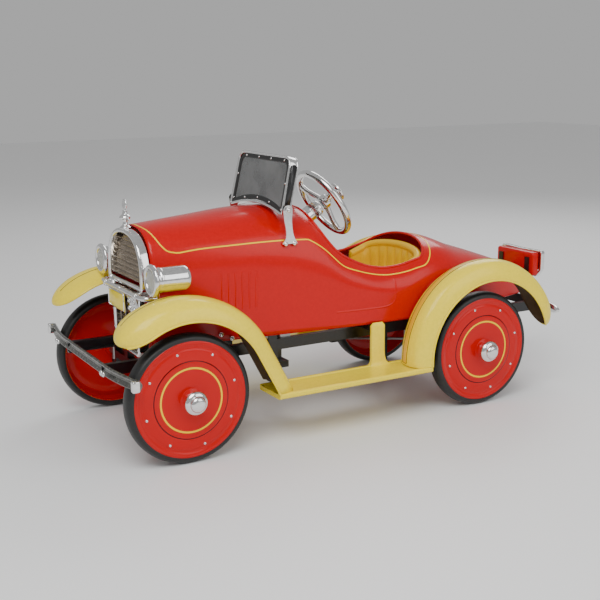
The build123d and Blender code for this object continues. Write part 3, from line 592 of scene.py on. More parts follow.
def on_body(plan, side=1):
    """Points of the skin over (x, y) places, and the skin's direction there."""
    t = share_where(plan[:, 1], plan[:, 0], 0)
    return body_point(plan[:, 1], t, side), body_normal(plan[:, 1], t, side)


def ribbon(width, height, round_top=0.7):
    """The section of a thin line of paint or a pressed ridge: flat below, eased above."""
    w = width / 2
    return np.array(
        [[-w, -height], [w, -height], [w, 0], [w * round_top, height], [-w * round_top, height], [-w, 0]]
    )


class PEDALCAR_OT_body(bpy.types.Operator):
    """Body skin with its rolled cockpit rim, hood louvres, door pressing and yellow lining"""

    bl_idname = "pedalcar.body"
    bl_label = "Body"

    def execute(self, context):
        size = context.scene.pedal_car_size
        skin = Shape()
        rim = rim_path(26)
        ys = np.concatenate(
            [
                np.linspace(NOSE_Y, RIM_FRONT_Y, 46),
                rim[1:, 1],
                np.linspace(RIM_END_Y, TAIL_Y, 36)[1:],
            ]
        )
        edge = np.concatenate([np.zeros(46), rim[1:, 0], np.zeros(35)])
        top = np.where(edge > 0, share_where(ys, edge, 0), 1.0)
        down = np.linspace(-1, 0, 12)[:-1]
        up = np.linspace(0, 1, 34)
        for side in (1, -1):
            t = np.concatenate([np.repeat(down[:, None], len(ys), 1), up[:, None] * top[None]])
            skin.grid(body_point(np.broadcast_to(ys, t.shape), t, side))
        end = np.concatenate([down, up])
        left = body_point(TAIL_Y, end, 1)
        skin.cap(np.vstack([left, left[::-1] * [-1, 1, 1]]))
        piece("body_skin", skin, ["body_red"], "chassis", ["body_shell"], wall=size.body_sheet)

        trim = Shape()
        left, up_left = on_body(rim_path(40, 0.0005))
        loop = np.vstack([left, left[-2:0:-1] * [-1, 1, 1]])
        up = np.vstack([up_left, up_left[-2:0:-1] * [-1, 1, 1]])
        loop = even(np.vstack([loop, loop[:1]]), 180)[:-1]
        trim.tube(carry(loop, circle(size.rim_bead, 12), (0, 0.2, 1), closed=True), closed=True)
        for side in (1, -1):
            self.pressings(trim, side)
        piece("body_pressings", trim, ["body_red"], "chassis")

        lining = Shape()
        for side in (1, -1):
            self.lining(lining, side, size)
        piece("body_lining", lining, ["line_yellow"], "chassis")
        return {"FINISHED"}

    @staticmethod
    def pressings(trim, side):
        """Low ridges: six hood louvres and the door's outline."""
        for k in range(6):
            y = FRONT_Y + (122 + 14.5 * k) * MM
            z = np.linspace(0.262, 0.338, 20)
            shoulder = arch_at(y, 0.0)[1]
            t = np.where(z > shoulder, share_where(y, z, 1), (z - shoulder) / (shoulder - SILL_Z))
            path = body_point(y, t, side)
            trim.tube(carry(path, ribbon(5 * MM, 1.1 * MM, 0.35), body_normal(y, t, side)))
        door = smooth_curve(
            [
                (-0.060, 0.234), (0.0, 0.234), (0.050, 0.234), (0.070, 0.238), (0.082, 0.250),
                (0.084, 0.275), (0.084, 0.292),
            ],
            60,
        )
        shoulder = arch_at(door[:, 0], 0.0)[1]
        t = np.where(
            door[:, 1] > shoulder,
            share_where(door[:, 0], door[:, 1], 1),
            (door[:, 1] - shoulder) / (shoulder - SILL_Z),
        )
        path = body_point(door[:, 0], t, side)
        trim.tube(carry(path, ribbon(4 * MM, 0.9 * MM, 0.3), body_normal(door[:, 0], t, side)))

    @staticmethod
    def lining(lining, side, size):
        """One yellow line: over the hood's nose, level along the side and round the cockpit."""
        level_z = np.array([0.385, 0.389, 0.392, 0.394, 0.3935, 0.391])
        level_y = np.array([-0.398, -0.36, -0.29, -0.21, -0.16, -0.116])
        ys = np.linspace(-0.398, -0.116, 60)
        level = np.stack([ys, share_where(ys, through(level_y, level_z, ys), 1)], -1)
        share = level[0, 1]
        hood = [
            (-0.448, 1.0), (-0.447, 0.85), (-0.441, 0.62), (-0.435, 0.4), (-0.428, 0.2), (-0.417, 0.06),
            (-0.398, 0.0),
        ]
        hood = smooth_curve([(y, share + (1 - share) * k) for y, k in hood], 60)
        around = rim_path(40, size.lining_gap)
        around = around[around[:, 1] > -0.055]
        t = share_where(around[:, 1], around[:, 0], 0)
        corner = level[-1]
        bend = np.linspace(0, 1, 16)[1:-1, None]
        first = np.array([around[0, 1], t[0]])
        join = corner * (1 - bend) + first * bend
        whole = np.vstack([hood[:-1], level, join, np.stack([around[:, 1], t], -1)])
        path = body_point(whole[:, 0], whole[:, 1], side)
        up = body_normal(whole[:, 0], whole[:, 1], side)
        both = even(np.hstack([path, up]), 260)
        lining.tube(carry(both[:, :3], ribbon(size.lining_width, 0.25 * MM), both[:, 3:]))


# ---------------------------------------------------------------- fenders and boards
FENDER_OUT = float(box_of("front_fender_left")[1][0])
BOARD_TOP = float(box_of("running_boards")[1][2])


class Fender:
    """One fender's surface: a crowned section turned about an arc centre, with a foot and a tip."""

    def __init__(self, centre, inner, crown, lip, tip, foot, tip_span):
        self.centre, self.inner, self.crown, self.lip = centre, inner, crown, lip
        self.tip, self.foot, self.tip_span = math.radians(tip), math.radians(foot), math.radians(tip_span)

    def section(self, u):
        """x and radius across the fender at share u: low at the inner edge, crowned, skirted outside."""
        reach = FENDER_OUT - self.inner
        x = through(
            [0, 0.2, 0.4, 0.6, 0.76, 0.88, 0.95, 1.0],
            self.inner + reach * np.array([0, 0.22, 0.47, 0.7, 0.87, 0.955, 0.985, 1.0]),
            u,
        )
        drop = self.crown - self.lip
        r = through(
            [0, 0.2, 0.4, 0.6, 0.76, 0.88, 0.95, 1.0],
            self.crown - drop * np.array([0.5, 0.17, 0.02, 0.03, 0.2, 0.52, 0.78, 1.0]),
            u,
        )
        return x, r

    def at(self, s, u):
        """A point at share s along the fender, from its foot (0) to its tip (1)."""
        s, u = np.broadcast_arrays(np.asarray(s, float), np.asarray(u, float))
        x, r = self.section(u)
        split = 0.2
        arc = np.clip((s - split) / (1 - split), 0, 1)
        angle = self.foot + (self.tip - self.foot) * arc
        share = np.clip(1 - np.abs(self.tip - angle) / self.tip_span, 0, 1)
        shrink = np.sqrt(np.clip(1 - share**2.4, 0, 1))
        mid_x = self.inner + 0.62 * (FENDER_OUT - self.inner)
        mid_r = self.crown - 0.42 * (self.crown - self.lip)
        x = mid_x + (x - mid_x) * shrink
        r = mid_r + (r - mid_r) * shrink
        y = self.centre[0] + r * np.cos(angle)
        z = self.centre[1] + r * np.sin(angle)
        turn = 1 if self.foot > self.tip else -1
        down = np.array([-turn * math.sin(self.foot), turn * math.cos(self.foot)])
        run = (z - BOARD_TOP) / -down[1] * np.clip(1 - s / split, 0, 1)
        return np.stack([x, y + run * down[0], z + run * down[1]], -1)

    def line(self, s, u, lift=0.35 * MM):
        """A path on the fender with its outward direction."""
        p = self.at(s, u)
        d = 2e-3
        across = self.at(s, np.minimum(u + d, 1)) - self.at(s, np.minimum(u + d, 1) - 2 * d)
        along = self.at(np.minimum(s + d, 0.995), u) - self.at(np.minimum(s + d, 0.995) - 2 * d, u)
        n = unit(np.cross(across, along))
        out = p - np.array([0, *self.centre])
        n = n * np.where((n * out * [0, 1, 1]).sum(-1, keepdims=True) < 0, -1, 1)
        return p + lift * n, n


FENDERS = {
    "front": Fender((FRONT_Y, TYRE_R), 0.125, 0.194, 0.153, 138, 28, 22),
    "rear": Fender((REAR_Y + 0.013, TYRE_R - 0.006), 0.153, 0.204, 0.161, 10, 180, 24),
}


class PEDALCAR_OT_fenders(bpy.types.Operator):
    """Crowned fenders with rolled lips, rounded tips, dark linings and painted lines"""

    bl_idname = "pedalcar.fenders"
    bl_label = "Fenders"

    def execute(self, context):
        size = context.scene.pedal_car_size
        for place, fender in FENDERS.items():
            skin, lines, band = Shape(), Shape(), Shape()
            s = np.concatenate(
                [
                    np.linspace(0, 0.2, 8)[:-1], np.linspace(0.2, 0.86, 50)[:-1],
                    1 - 0.14 * np.linspace(1, 0, 26) ** 2,
                ]
            )
            u = np.linspace(0, 1, 30)
            skin.grid(fender.at(s[:, None], u[None]))
            edge = fender.at(np.linspace(0, 0.985, 90), np.full(90, 0.995))
            bead = Shape()
            bead.tube(carry(edge, circle(size.lip_bead, 10), (0.3, 0, 1)))
            painted = np.linspace(0.1 if place == "rear" else 0.16, 0.93, 110)
            spread = 0.20 + 0.02 * np.sin(painted * 3)
            if place == "rear":
                inner_u, outer_u = spread + 0.08, spread + 0.26
                for path_u in (inner_u, outer_u):
                    p, n = fender.line(painted, path_u)
                    lines.tube(carry(p, ribbon(size.fine_line, 0.2 * MM), n))
                k = np.linspace(0, 1, 7)[:, None]
                rows = inner_u + (outer_u - inner_u) * k
                p, n = fender.line(np.broadcast_to(painted, rows.shape), rows)
                band.grid(p)
                foot_s = np.full(8, painted[0])
                p, n = fender.line(foot_s, np.linspace(inner_u[0], outer_u[0], 8))
                lines.tube(carry(p, ribbon(size.fine_line, 0.2 * MM), n))
            else:
                p, n = fender.line(painted, 0.36 + 0.05 * painted)
                lines.tube(carry(p, ribbon(size.fine_line, 0.2 * MM), n))
            for side, sign in SIDES.items():
                hand = (lambda shape: shape) if sign > 0 else mirrored
                piece(
                    f"{place}_fender_skin_{side}", hand(skin), ["fender_cream", "fender_lining"], "chassis",
                    [f"{place}_fender_{side}"], wall=size.fender_sheet, inside=1,
                )
                piece(f"{place}_fender_bead_{side}", hand(bead), ["fender_cream"], "chassis")
                piece(f"{place}_fender_line_{side}", hand(lines), ["line_black"], "chassis")
                if place == "rear":
                    piece(f"rear_fender_band_{side}", hand(band), ["fender_band"], "chassis", wall=0.1 * MM)
        return {"FINISHED"}


class PEDALCAR_OT_boards(bpy.types.Operator):
    """Running boards with a rolled outer edge, and the step brackets standing on them"""

    bl_idname = "pedalcar.boards"
    bl_label = "Running boards"

    def execute(self, context):
        low, high = box_of("running_boards")
        inner, outer = high[0] - 0.086, high[0]
        z0, z1 = low[2], high[2]
        lip = 2 * MM
        section = rounded(
            [
                (inner, z0), (outer - 0.004, z0), (outer, z0 + 0.003), (outer, z1 - 0.002),
                (outer - 0.002, z1),
                (outer - 0.010, z1), (outer - 0.012, z1 - lip), (inner + 0.008, z1 - lip),
                (inner + 0.006, z1),
                (inner, z1), (inner, z0),
            ],
            1.2 * MM,
        )[:-1]
        ys = np.linspace(low[1], high[1], 24)
        rings = np.stack(
            [
                np.broadcast_to(section[:, 0], (24, len(section))),
                np.broadcast_to(ys[:, None], (24, len(section))),
                np.broadcast_to(section[:, 1], (24, len(section))),
            ],
            -1,
        )
        board = Shape().tube(rings)
        pair = Shape().merge(board).merge(mirrored(board))
        piece("running_board_pair", pair, ["fender_cream"], "chassis", ["running_boards"], sharp=50)

        low, high = box_of("step_brackets")
        x0 = high[0] - 0.023
        y0 = low[1]
        foot = high[1]
        steps = Shape()
        for sign in (1, -1):
            half_foot = (foot - y0) / 2
            z = np.concatenate([np.linspace(0, 0.012, 8), np.linspace(0.012, high[2] - BOARD_TOP, 14)[1:]])
            flare = 0.016 * np.exp(-z / 0.006)
            width = 0.017 + flare * 0.6
            depth = 0.0045 + flare * 0.35
            top_round = np.sqrt(
                np.clip(1 - ((z - (high[2] - BOARD_TOP - 0.006)) / 0.0062).clip(0, 0.995) ** 2, 0, 1)
            )
            base = round_box(1.0, 1.0, 0.35, 5)
            middle = y0 + 0.017 + (half_foot - 0.017) * np.exp(-z / 0.01) * 0.4
            ring = np.stack(
                [
                    x0 + 0.004 + base[None, :, 0] * (depth * np.maximum(top_round, 0.4))[:, None],
                    middle[:, None] + base[None, :, 1] * (width * np.maximum(top_round, 0.7))[:, None],
                    np.broadcast_to((BOARD_TOP - lip + z)[:, None], (len(z), len(base))),
                ],
                -1,
            )
            steps.tube(ring * [sign, 1, 1])
        piece("step_bracket_pair", steps, ["fender_cream"], "chassis", ["step_brackets"])
        return {"FINISHED"}


# ---------------------------------------------------------------- wheels
class PEDALCAR_OT_wheels(bpy.types.Operator):
    """Pressed disc wheels with rivets, a painted yellow ring and painted shade at the raised ring line, solid
    tyres and domed hub caps
    """

    bl_idname = "pedalcar.wheels"
    bl_label = "Wheels"

    def execute(self, context):
        size = context.scene.pedal_car_size
        bodies = {
            ("front", "left"): "front_wheel_l",
            ("front", "right"): "front_wheel_r",
            ("rear", "left"): "drive_axle",
            ("rear", "right"): "rear_wheel_r",
        }
        for (place, side), body in bodies.items():
            sign = SIDES[side]
            label = f"{place}_{side}"
            low, high = box_of(f"wheel_{label}")
            centre = np.array([0, (low[1] + high[1]) / 2, (low[2] + high[2]) / 2])
            rim_r = (high[2] - low[2]) / 2
            low, high = box_of(f"tyre_{label}")
            width = high[0] - low[0]
            face = sign * float((high if sign > 0 else low)[0])
            axis = (sign, 0, 0)
            self.disc(label, body, centre, axis, face, rim_r, size)
            a = np.linspace(0, np.pi, 22)
            tread = np.stack(
                [
                    face - width / 2 + width / 2 * np.cos(a),
                    rim_r + 0.0015 + (TYRE_R - rim_r - 0.0015) * np.sin(a) ** 0.8,
                ],
                -1,
            )
            profile = np.vstack(
                [[face - 0.001, rim_r - 0.0015], tread, [face - width + 0.001, rim_r - 0.0015]]
            )
            tyre = Shape().turned(np.vstack([profile, profile[:1]]), centre, axis, 128)
            piece(f"tyre_{label}_rubber", tyre, ["tyre_rubber"], body, [f"tyre_{label}"])
        return {"FINISHED"}

    @staticmethod
    def disc(label, body, centre, axis, face, rim_r, size):
        """The disc: rolled rim, shallow groove, flat web, raised ring line, dished hub and stem."""
        groove = 0.0022
        outer = np.array(
            [
                (face - 0.034, rim_r - 0.001),
                (face - 0.034, rim_r + 0.0008),
                (face - 0.004, rim_r + 0.0008),
                (face - 0.001, rim_r - 0.0005),
                (face + 0.0004, rim_r - 0.003),
                (face - 0.0004, rim_r - 0.008),
                (face - groove, rim_r - 0.0125),
                (face - groove, rim_r - 0.015),
                (face - 0.0006, rim_r - 0.019),
                (face - 0.0002, rim_r - 0.03),
                (face - 0.0002, 0.0775),
                (face + 0.0008, 0.0745),
                (face + 0.0012, 0.071),
                (face + 0.0014, 0.045),
                (face + 0.0022, 0.024),
                (face + 0.005, 0.0165),
                (face + 0.010, 0.0135),
                (face + 0.016, 0.0125),
            ]
        )
        back = outer[::-1][7:] + np.array([-0.0016, -0.0012])
        back = back[back[:, 1] < rim_r - 0.004]
        stem = np.array(
            [(face + 0.016, 0.004), (face - 0.018, 0.0075), (face - 0.018, 0.014), (face - 0.004, 0.014)]
        )
        inside = np.array([(face - 0.0035, rim_r - 0.0035), (face - 0.034, rim_r - 0.0035)])
        front = even(rounded(outer, 0.0012, 4), 150)
        profile = np.vstack([front, stem, back, inside, front[:1]])
        shape = Shape()
        rings = lathe(profile, centre, axis, 128)
        # Radius share per point: the wheel finish paints the yellow ring and the painted shade of the ring
        # line's step from it.
        values = np.repeat(profile[:, 1] / rim_r, 128)
        values[len(front) * 128 :] = 0.3
        shape.grid(rings, wrap_cols=True, value=values)
        piece(f"wheel_{label}_disc", shape, ["wheel_red"], body, [f"wheel_{label}"], sharp=60)
        rivets = Shape()
        for k in range(8):
            a = (k + 0.35) * np.pi / 4
            where = centre + np.array([axis[0] * (face - 0.0002), 0.094 * np.cos(a), 0.094 * np.sin(a)])
            dome(rivets, where, axis, size.rivet_radius, 0.0014)
        piece(f"wheel_{label}_rivets", rivets, ["chrome"], body)
        seat = face + 0.0145
        cap = np.array(
            [
                (seat, 0.0), (seat, 0.015), (seat + 0.001, 0.019), (seat + 0.0035, 0.0228),
                (seat + 0.007, 0.0238),
                (seat + 0.0105, 0.0226), (seat + 0.0135, 0.0198), (seat + 0.0150, 0.0165),
                (seat + 0.0160, 0.0155),
                (seat + 0.0185, 0.0150), (seat + 0.0215, 0.0125), (seat + 0.0235, 0.0080),
                (seat + 0.0242, 0.0),
            ]
        )
        curve = smooth_curve(cap, 60)
        curve[:, 1] = np.maximum(curve[:, 1], 0)
        shape = Shape().turned(curve, centre, axis, 64)
        piece(f"hub_cap_{label}_dome", shape, ["chrome"], body, [f"hub_cap_{label}"])


# ---------------------------------------------------------------- radiator
class PEDALCAR_OT_radiator(bpy.types.Operator):
    """Plated radiator shell with rivets, louvred core and a winged cap that carries a dial"""

    bl_idname = "pedalcar.radiator"
    bl_label = "Radiator"

    def execute(self, context):
        low, high = box_of("radiator_shell")
        front, back = low[1], high[1]
        depth = back - front
        middle = (front + back) / 2
        half, crown, foot = high[0], high[2], low[2]
        waist_z, waist, foot_half = 0.310, 0.077, 0.066
        shoulder = 0.340
        handle = 0.66
        t = np.linspace(0, 1, 26)
        s = 1 - t
        arch_x = half * (s**3 + 3 * s**2 * t + 3 * handle * s * t**2)
        arch_z = shoulder + (crown - shoulder) * (3 * handle * s**2 * t + 3 * s * t**2 + t**3)
        right = np.vstack(
            [
                [(0, foot), (foot_half - 0.008, foot), (foot_half, foot + 0.008)],
                [
                    (waist - 0.002, waist_z - 0.012), (waist + 0.003, waist_z - 0.002),
                    (half - 0.006, waist_z + 0.001),
                ],
                [(half, waist_z + 0.008)],
                np.stack([arch_x, arch_z], -1),
            ]
        )
        outline = np.vstack([right, (right * [-1, 1])[-2:0:-1]])
        outline = even(rounded(np.vstack([outline, outline[:1]]), 0.003), 260)[:-1]
        band = 0.0095
        centre = np.array([0.0, 0.32])
        inward = unit(centre - outline)
        path = np.stack([outline[:, 0], np.full(len(outline), middle), outline[:, 1]], -1)
        path[:, [0, 2]] += inward * band / 2
        shell = Shape()
        section = round_box(depth / 2, band / 2, 0.0042, 5)
        up = np.stack([-inward[:, 0], np.zeros(len(path)), -inward[:, 1]], -1)
        shell.tube(carry(path, section, up, closed=True), closed=True)
        rounded_block(
            shell, (-half + 0.006, front + 0.003, waist_z + 0.001), (
                half - 0.006, front + 0.012, waist_z + 0.011
            ), 0.003
        )
        for z in np.linspace(foot + 0.016, waist_z - 0.02, 9):
            x = np.interp(z, [foot, waist_z], [foot_half, waist]) - 0.0048
            for sign in (1, -1):
                dome(shell, (sign * x, front + 0.0002, z), (0, -1, 0), 0.0021, 0.0014)
        piece("radiator_surround", shell, ["chrome"], "chassis", ["radiator_shell"], sharp=35)

        core = Shape()
        for z0, z1, wide, pitches in (
            (waist_z + 0.012, crown - band, None, 9),
            (foot + band, waist_z - 0.002, (foot_half, waist), 8),
        ):
            z = np.linspace(z0, z1, pitches * 14 + 1)
            saw = ((z - z0) / (z1 - z0) * pitches) % 1.0
            y = middle + 0.004 - 0.0085 * np.clip(saw / 0.75, 0, 1) * (1 - np.clip((saw - 0.75) / 0.2, 0, 1))
            if wide:
                reach = np.interp(z, [foot, waist_z], wide) - band * 0.6
            else:
                reach = np.interp(z, arch_z, arch_x) - band * 0.6
                reach = np.where(z < shoulder, half - band * 0.6, reach)
            across = np.linspace(-1, 1, 25)
            grid = np.stack(
                [
                    reach[:, None] * across, np.broadcast_to(y[:, None], (len(z), 25)),
                    np.broadcast_to(z[:, None], (len(z), 25)),
                ],
                -1,
            )
            core.grid(grid)
            for k in range(4 if wide else 0):
                x = (k - 1.5) * 0.028
                rounded_block(
                    core, (x - 0.0008, middle - 0.0052, z0), (x + 0.0008, middle + 0.003, z1), 0.0006
                )
        piece(
            "radiator_louvres", core, ["grille_plate"], "chassis", ["radiator_grille"], wall=0.001,
            sharp=30,
        )

        low, high = box_of("radiator_cap")
        y = (low[1] + high[1]) / 2
        base = crown - 0.001
        cap = Shape()
        stem = [
            (0, 0), (0, 0.0115), (0.003, 0.0115), (0.005, 0.009), (0.008, 0.0055), (0.014, 0.0045),
            (0.018, 0.006),
            (0.020, 0.0105), (0.023, 0.0115), (0.026, 0.0095), (0.029, 0.0055), (0.034, 0.0045),
            (0.037, 0.0045), (0.037, 0),
        ]
        cap.turned(rounded(stem, 0.001), (0, y, base), (0, 0, 1), 40)
        wing = smooth_curve([(0.0, 0.0215), (0.008, 0.0225), (0.014, 0.0215), (0.0185, 0.0185)], 18)
        for sign in (1, -1):
            path = np.stack([sign * wing[:, 0], np.full(18, y), base + wing[:, 1]], -1)
            taper = np.linspace(1, 0.35, 18)[:, None, None]
            cap.tube(carry(path, circle(0.0042, 12, 0.45) * taper, (0, 0, 1)))
        dial_z = high[2] - 0.0105
        ring = np.linspace(0, 2 * np.pi, 49)[:-1]
        circle_path = np.stack([0.0085 * np.cos(ring), np.full(48, y), dial_z + 0.0085 * np.sin(ring)], -1)
        cap.tube(carry(circle_path, circle(0.0021, 10), (0, 1, 0), closed=True), closed=True)
        plate = [(-0.0018, 0), (-0.0018, 0.0085), (0.0018, 0.0085), (0.0018, 0)]
        cap.turned(plate, (0, y, dial_z), (0, 1, 0), 32)
        piece("radiator_cap_dial", cap, ["chrome"], "chassis", ["radiator_cap"])
        return {"FINISHED"}


# ---------------------------------------------------------------- lamps and plates
class PEDALCAR_OT_lamps(bpy.types.Operator):
    """Headlamps on their bar, with the blank number plate and the riveted plate beside it"""

    bl_idname = "pedalcar.lamps"
    bl_label = "Lamps"

    def execute(self, context):
        low, high = box_of("headlamp_bezels")
        bezel_r = (high[2] - low[2]) / 2
        lamp_x, lamp_z = high[0] - bezel_r, (low[2] + high[2]) / 2
        front = low[1]
        rear = box_of("headlamp_shells")[1][1]
        length = rear - front
        barrel_r = (box_of("headlamp_shells")[1][2] - box_of("headlamp_shells")[0][2]) / 2
        shells, bezels, lenses = Shape(), Shape(), Shape()
        barrel = [
            (0.007, 0.0), (0.007, barrel_r - 0.0005), (length * 0.2, barrel_r - 0.0005),
            (length * 0.22, barrel_r + 0.0004),
            (length * 0.26, barrel_r + 0.0004), (length * 0.28, barrel_r - 0.0002),
            (length - 0.010, barrel_r),
            (length - 0.002, barrel_r - 0.003), (length, barrel_r - 0.010), (length, 0.0),
        ]
        ring = [
            (0.0085, barrel_r - 0.001), (0.010, bezel_r - 0.003), (0.0075, bezel_r - 0.0004),
            (0.004, bezel_r),
            (0.001, bezel_r - 0.0025), (0.0, bezel_r - 0.006), (0.0015, bezel_r - 0.0095),
            (0.0045, barrel_r - 0.0035),
            (0.007, barrel_r - 0.003), (0.0085, barrel_r - 0.001),
        ]
        a = np.linspace(0, np.pi / 2, 14)
        glass = np.stack([0.005 - 0.0042 * np.cos(a), (barrel_r - 0.002) * np.sin(a)], -1)
        for sign in SIDES.values():
            centre = (sign * lamp_x, front, lamp_z)
            shells.turned(rounded(barrel, 0.003), centre, (0, 1, 0), 72)
            bezels.turned(smooth_curve(ring, 60), centre, (0, 1, 0), 72)
            lens = lathe(glass, centre, (0, 1, 0), 72)
            lens[..., 1] -= 0.0005 * np.cos((lens[..., 0] - centre[0]) / 0.0016)
            lenses.grid(lens, wrap_cols=True)
            back = lathe(
                np.array([(0.0068, 0), (0.0068, barrel_r - 0.002), (0.0055, barrel_r - 0.001)]), centre,
                (0, 1, 0), 48,
            )
            shells.grid(back, wrap_cols=True)
        piece("headlamp_barrels", shells, ["chrome"], "chassis", ["headlamp_shells"])
        piece("headlamp_rings", bezels, ["chrome"], "chassis", ["headlamp_bezels"])
        piece("headlamp_glasses", lenses, ["lens_glass"], "chassis", ["headlamp_lenses"], wall=0.001)

        low, high = box_of("lamp_bar")
        reach, bar_y, bar_z = high[0] - 0.0055, low[1] + 0.0055, low[2] + 0.0055
        bar = Shape()
        half = [
            (0, 0), (reach * 0.5, 0), (reach * 0.84, 0), (reach * 0.97, 0.006), (reach, 0.018),
            (reach, 0.028),
        ]
        half = [(x, bar_y + dy, bar_z) for x, dy in half]
        rise = [(reach, bar_y + 0.030, bar_z + 0.008), (reach, bar_y + 0.030, high[2] - 0.006)]
        for sign in (1, -1):
            path = smooth_curve(np.array(half + rise) * [sign, 1, 1], 70)
            bar.tube(carry(path, circle(0.0052, 16), (0, -0.3, 1)))
            dome(bar, (sign * 0.084, bar_y - 0.004, bar_z), (0, -1, 0), 0.0055, 0.004)
            rounded_block(
                bar, (sign * 0.084 - 0.006, bar_y - 0.005, bar_z - 0.007), (
                    sign * 0.084 + 0.006, bar_y + 0.008, bar_z + 0.007
                ), 0.002
            )
        piece("lamp_bar_tube", bar, ["chrome"], "chassis", ["lamp_bar"])

        low, high = box_of("number_plate")
        plate = Shape()
        rounded_block(plate, low + [0, 0.0003, 0], high - [0, 0.0003, 0], 0.0006)
        piece("number_plate_blank", plate, ["fender_cream"], "chassis", ["number_plate"])
        border = Shape()
        x0, x1, z0, z1 = low[0] + 0.002, high[0] - 0.002, low[2] + 0.002, high[2] - 0.002
        corners = round_box((x1 - x0) / 2, (z1 - z0) / 2, 0.004, 6) + [(x0 + x1) / 2, (z0 + z1) / 2]
        path = np.stack([corners[:, 0], np.full(len(corners), low[1]), corners[:, 1]], -1)
        border.tube(carry(path, circle(0.0016, 8), (0, 1, 0), closed=True), closed=True)
        piece("number_plate_border", border, ["chrome"], "chassis")

        low, high = box_of("mount_plate")
        plate = Shape()
        face_y = high[1] - 0.004
        rounded_block(plate, (low[0], face_y, low[2]), (high[0], high[1], high[2]), 0.0015)
        rounded_block(
            plate, (low[0], face_y - 0.002, high[2] - 0.007), (high[0], face_y + 0.001, high[2]), 0.001
        )
        for x in (0.038, 0.062):
            for k in range(3):
                dome(plate, (x, face_y, low[2] + 0.010 + 0.015 * k), (0, -1, 0), 0.0052, 0.0046)
        piece("mount_plate_studs", plate, ["chrome"], "chassis", ["mount_plate"])
        return {"FINISHED"}


# ---------------------------------------------------------------- bumpers
class PEDALCAR_OT_bumpers(bpy.types.Operator):
    """Ridged front bumper with bright end caps, and the pointed rear bumper"""

    bl_idname = "pedalcar.bumpers"
    bl_label = "Bumpers"

    def execute(self, context):
        low, high = box_of("front_bumper")
        z, h, reach = (low[2] + high[2]) / 2, (high[2] - low[2]) / 2, high[0]
        y = low[1]
        ridge = rounded(
            [(0.0, -h), (0.004, -h), (0.0095, -0.002), (0.0095, 0.002), (0.004, h), (0.0, h),
             (-0.002, h - 0.002),
             (0.003, 0.0), (-0.002, -h + 0.002), (0.0, -h)], 0.0015,
        )[:-1] * [-1, 1]
        bar = Shape()
        xs = np.linspace(-1, 1, 90)
        sweep = (high[1] - y - 0.010) * np.clip((np.abs(xs) * reach - 0.13) / (reach - 0.13), 0, 1) ** 1.6
        path = np.stack([xs * (reach - 0.004), y + 0.0105 + sweep, np.full(90, z)], -1)
        bar.tube(carry(path, ridge, (0, 0, 1)))
        piece("front_bumper_bar", bar, ["dark_chrome"], "chassis", ["front_bumper"], sharp=30)
        ends = Shape()
        for sign in (1, -1):
            tip = path[-1] * [sign, 1, 1]
            low_corner = (tip[0] - 0.008, tip[1] - 0.0115, z - h)
            rounded_block(ends, low_corner, (tip[0] + 0.004, tip[1] + 0.0035, z + h), 0.003)
        piece("front_bumper_ends", ends, ["chrome"], "chassis")

        low, high = box_of("rear_bumper")
        z, h, reach = (low[2] + high[2]) / 2, (high[2] - low[2]) / 2, high[0]
        xs = np.linspace(-1, 1, 70)
        taper = np.sqrt(np.clip(1 - np.clip((np.abs(xs) - 0.72) / 0.28, 0, 1) ** 2, 0.02, 1))
        sweep = (high[1] - low[1] - 0.010) * np.clip(
            (np.abs(xs) * reach - 0.09) / (reach - 0.09), 0, 1
        ) ** 1.5
        path = np.stack([xs * reach, high[1] - 0.0095 - sweep, np.full(70, z)], -1)
        section = ridge[None] * [-1, 1] * np.stack([np.ones(70), taper], -1)[:, None]
        bar = Shape()
        bar.tube(carry(path, section, (0, 0, 1)))
        piece("rear_bumper_bar", bar, ["chrome"], "chassis", ["rear_bumper"], sharp=30)
        return {"FINISHED"}


# ---------------------------------------------------------------- tail
class PEDALCAR_OT_tail(bpy.types.Operator):
    """Red tail tank in its plated trim"""

    bl_idname = "pedalcar.tail"
    bl_label = "Tail tank"

    def execute(self, context):
        low, high = box_of("fuel_tank")
        tank = Shape()
        rounded_block(tank, low, high, 0.006)
        piece("tail_tank_box", tank, ["body_red"], "chassis", ["fuel_tank"])
        low, high = box_of("tank_trim")
        x, z0, z1 = high[0], low[2], high[2]
        outline = rounded(
            [
                (0, z0), (x - 0.016, z0), (x, z0 + 0.018), (x, z1), (-x, z1), (-x, z0 + 0.018),
                (-x + 0.016, z0), (0, z0),
            ], 0.003
        )
        outline = even(outline, 160)[:-1]
        middle = (low[1] + high[1]) / 2
        path = np.stack([outline[:, 0], np.full(len(outline), middle), outline[:, 1]], -1)
        inward = unit(np.array([0, (z0 + z1) / 2]) - outline)
        path[:, [0, 2]] += inward * 0.003
        up = np.stack([-inward[:, 0], np.zeros(len(path)), -inward[:, 1]], -1)
        trim = Shape()
        trim.tube(carry(path, round_box((high[1] - low[1]) / 2, 0.003, 0.0015), up, closed=True), closed=True)
        rounded_block(
            trim, (-x + 0.004, middle - 0.002, z0 + 0.016), (x - 0.004, middle + 0.002, z1 - 0.004),
            0.0015,
        )
        for sign in (1, -1):
            dome(trim, (sign * x * 0.6, high[1] - 0.002, (z0 + z1) / 2), (0, 1, 0), 0.006, 0.0018)
        piece("tail_trim_frame", trim, ["chrome"], "chassis", ["tank_trim"], sharp=35)
        return {"FINISHED"}


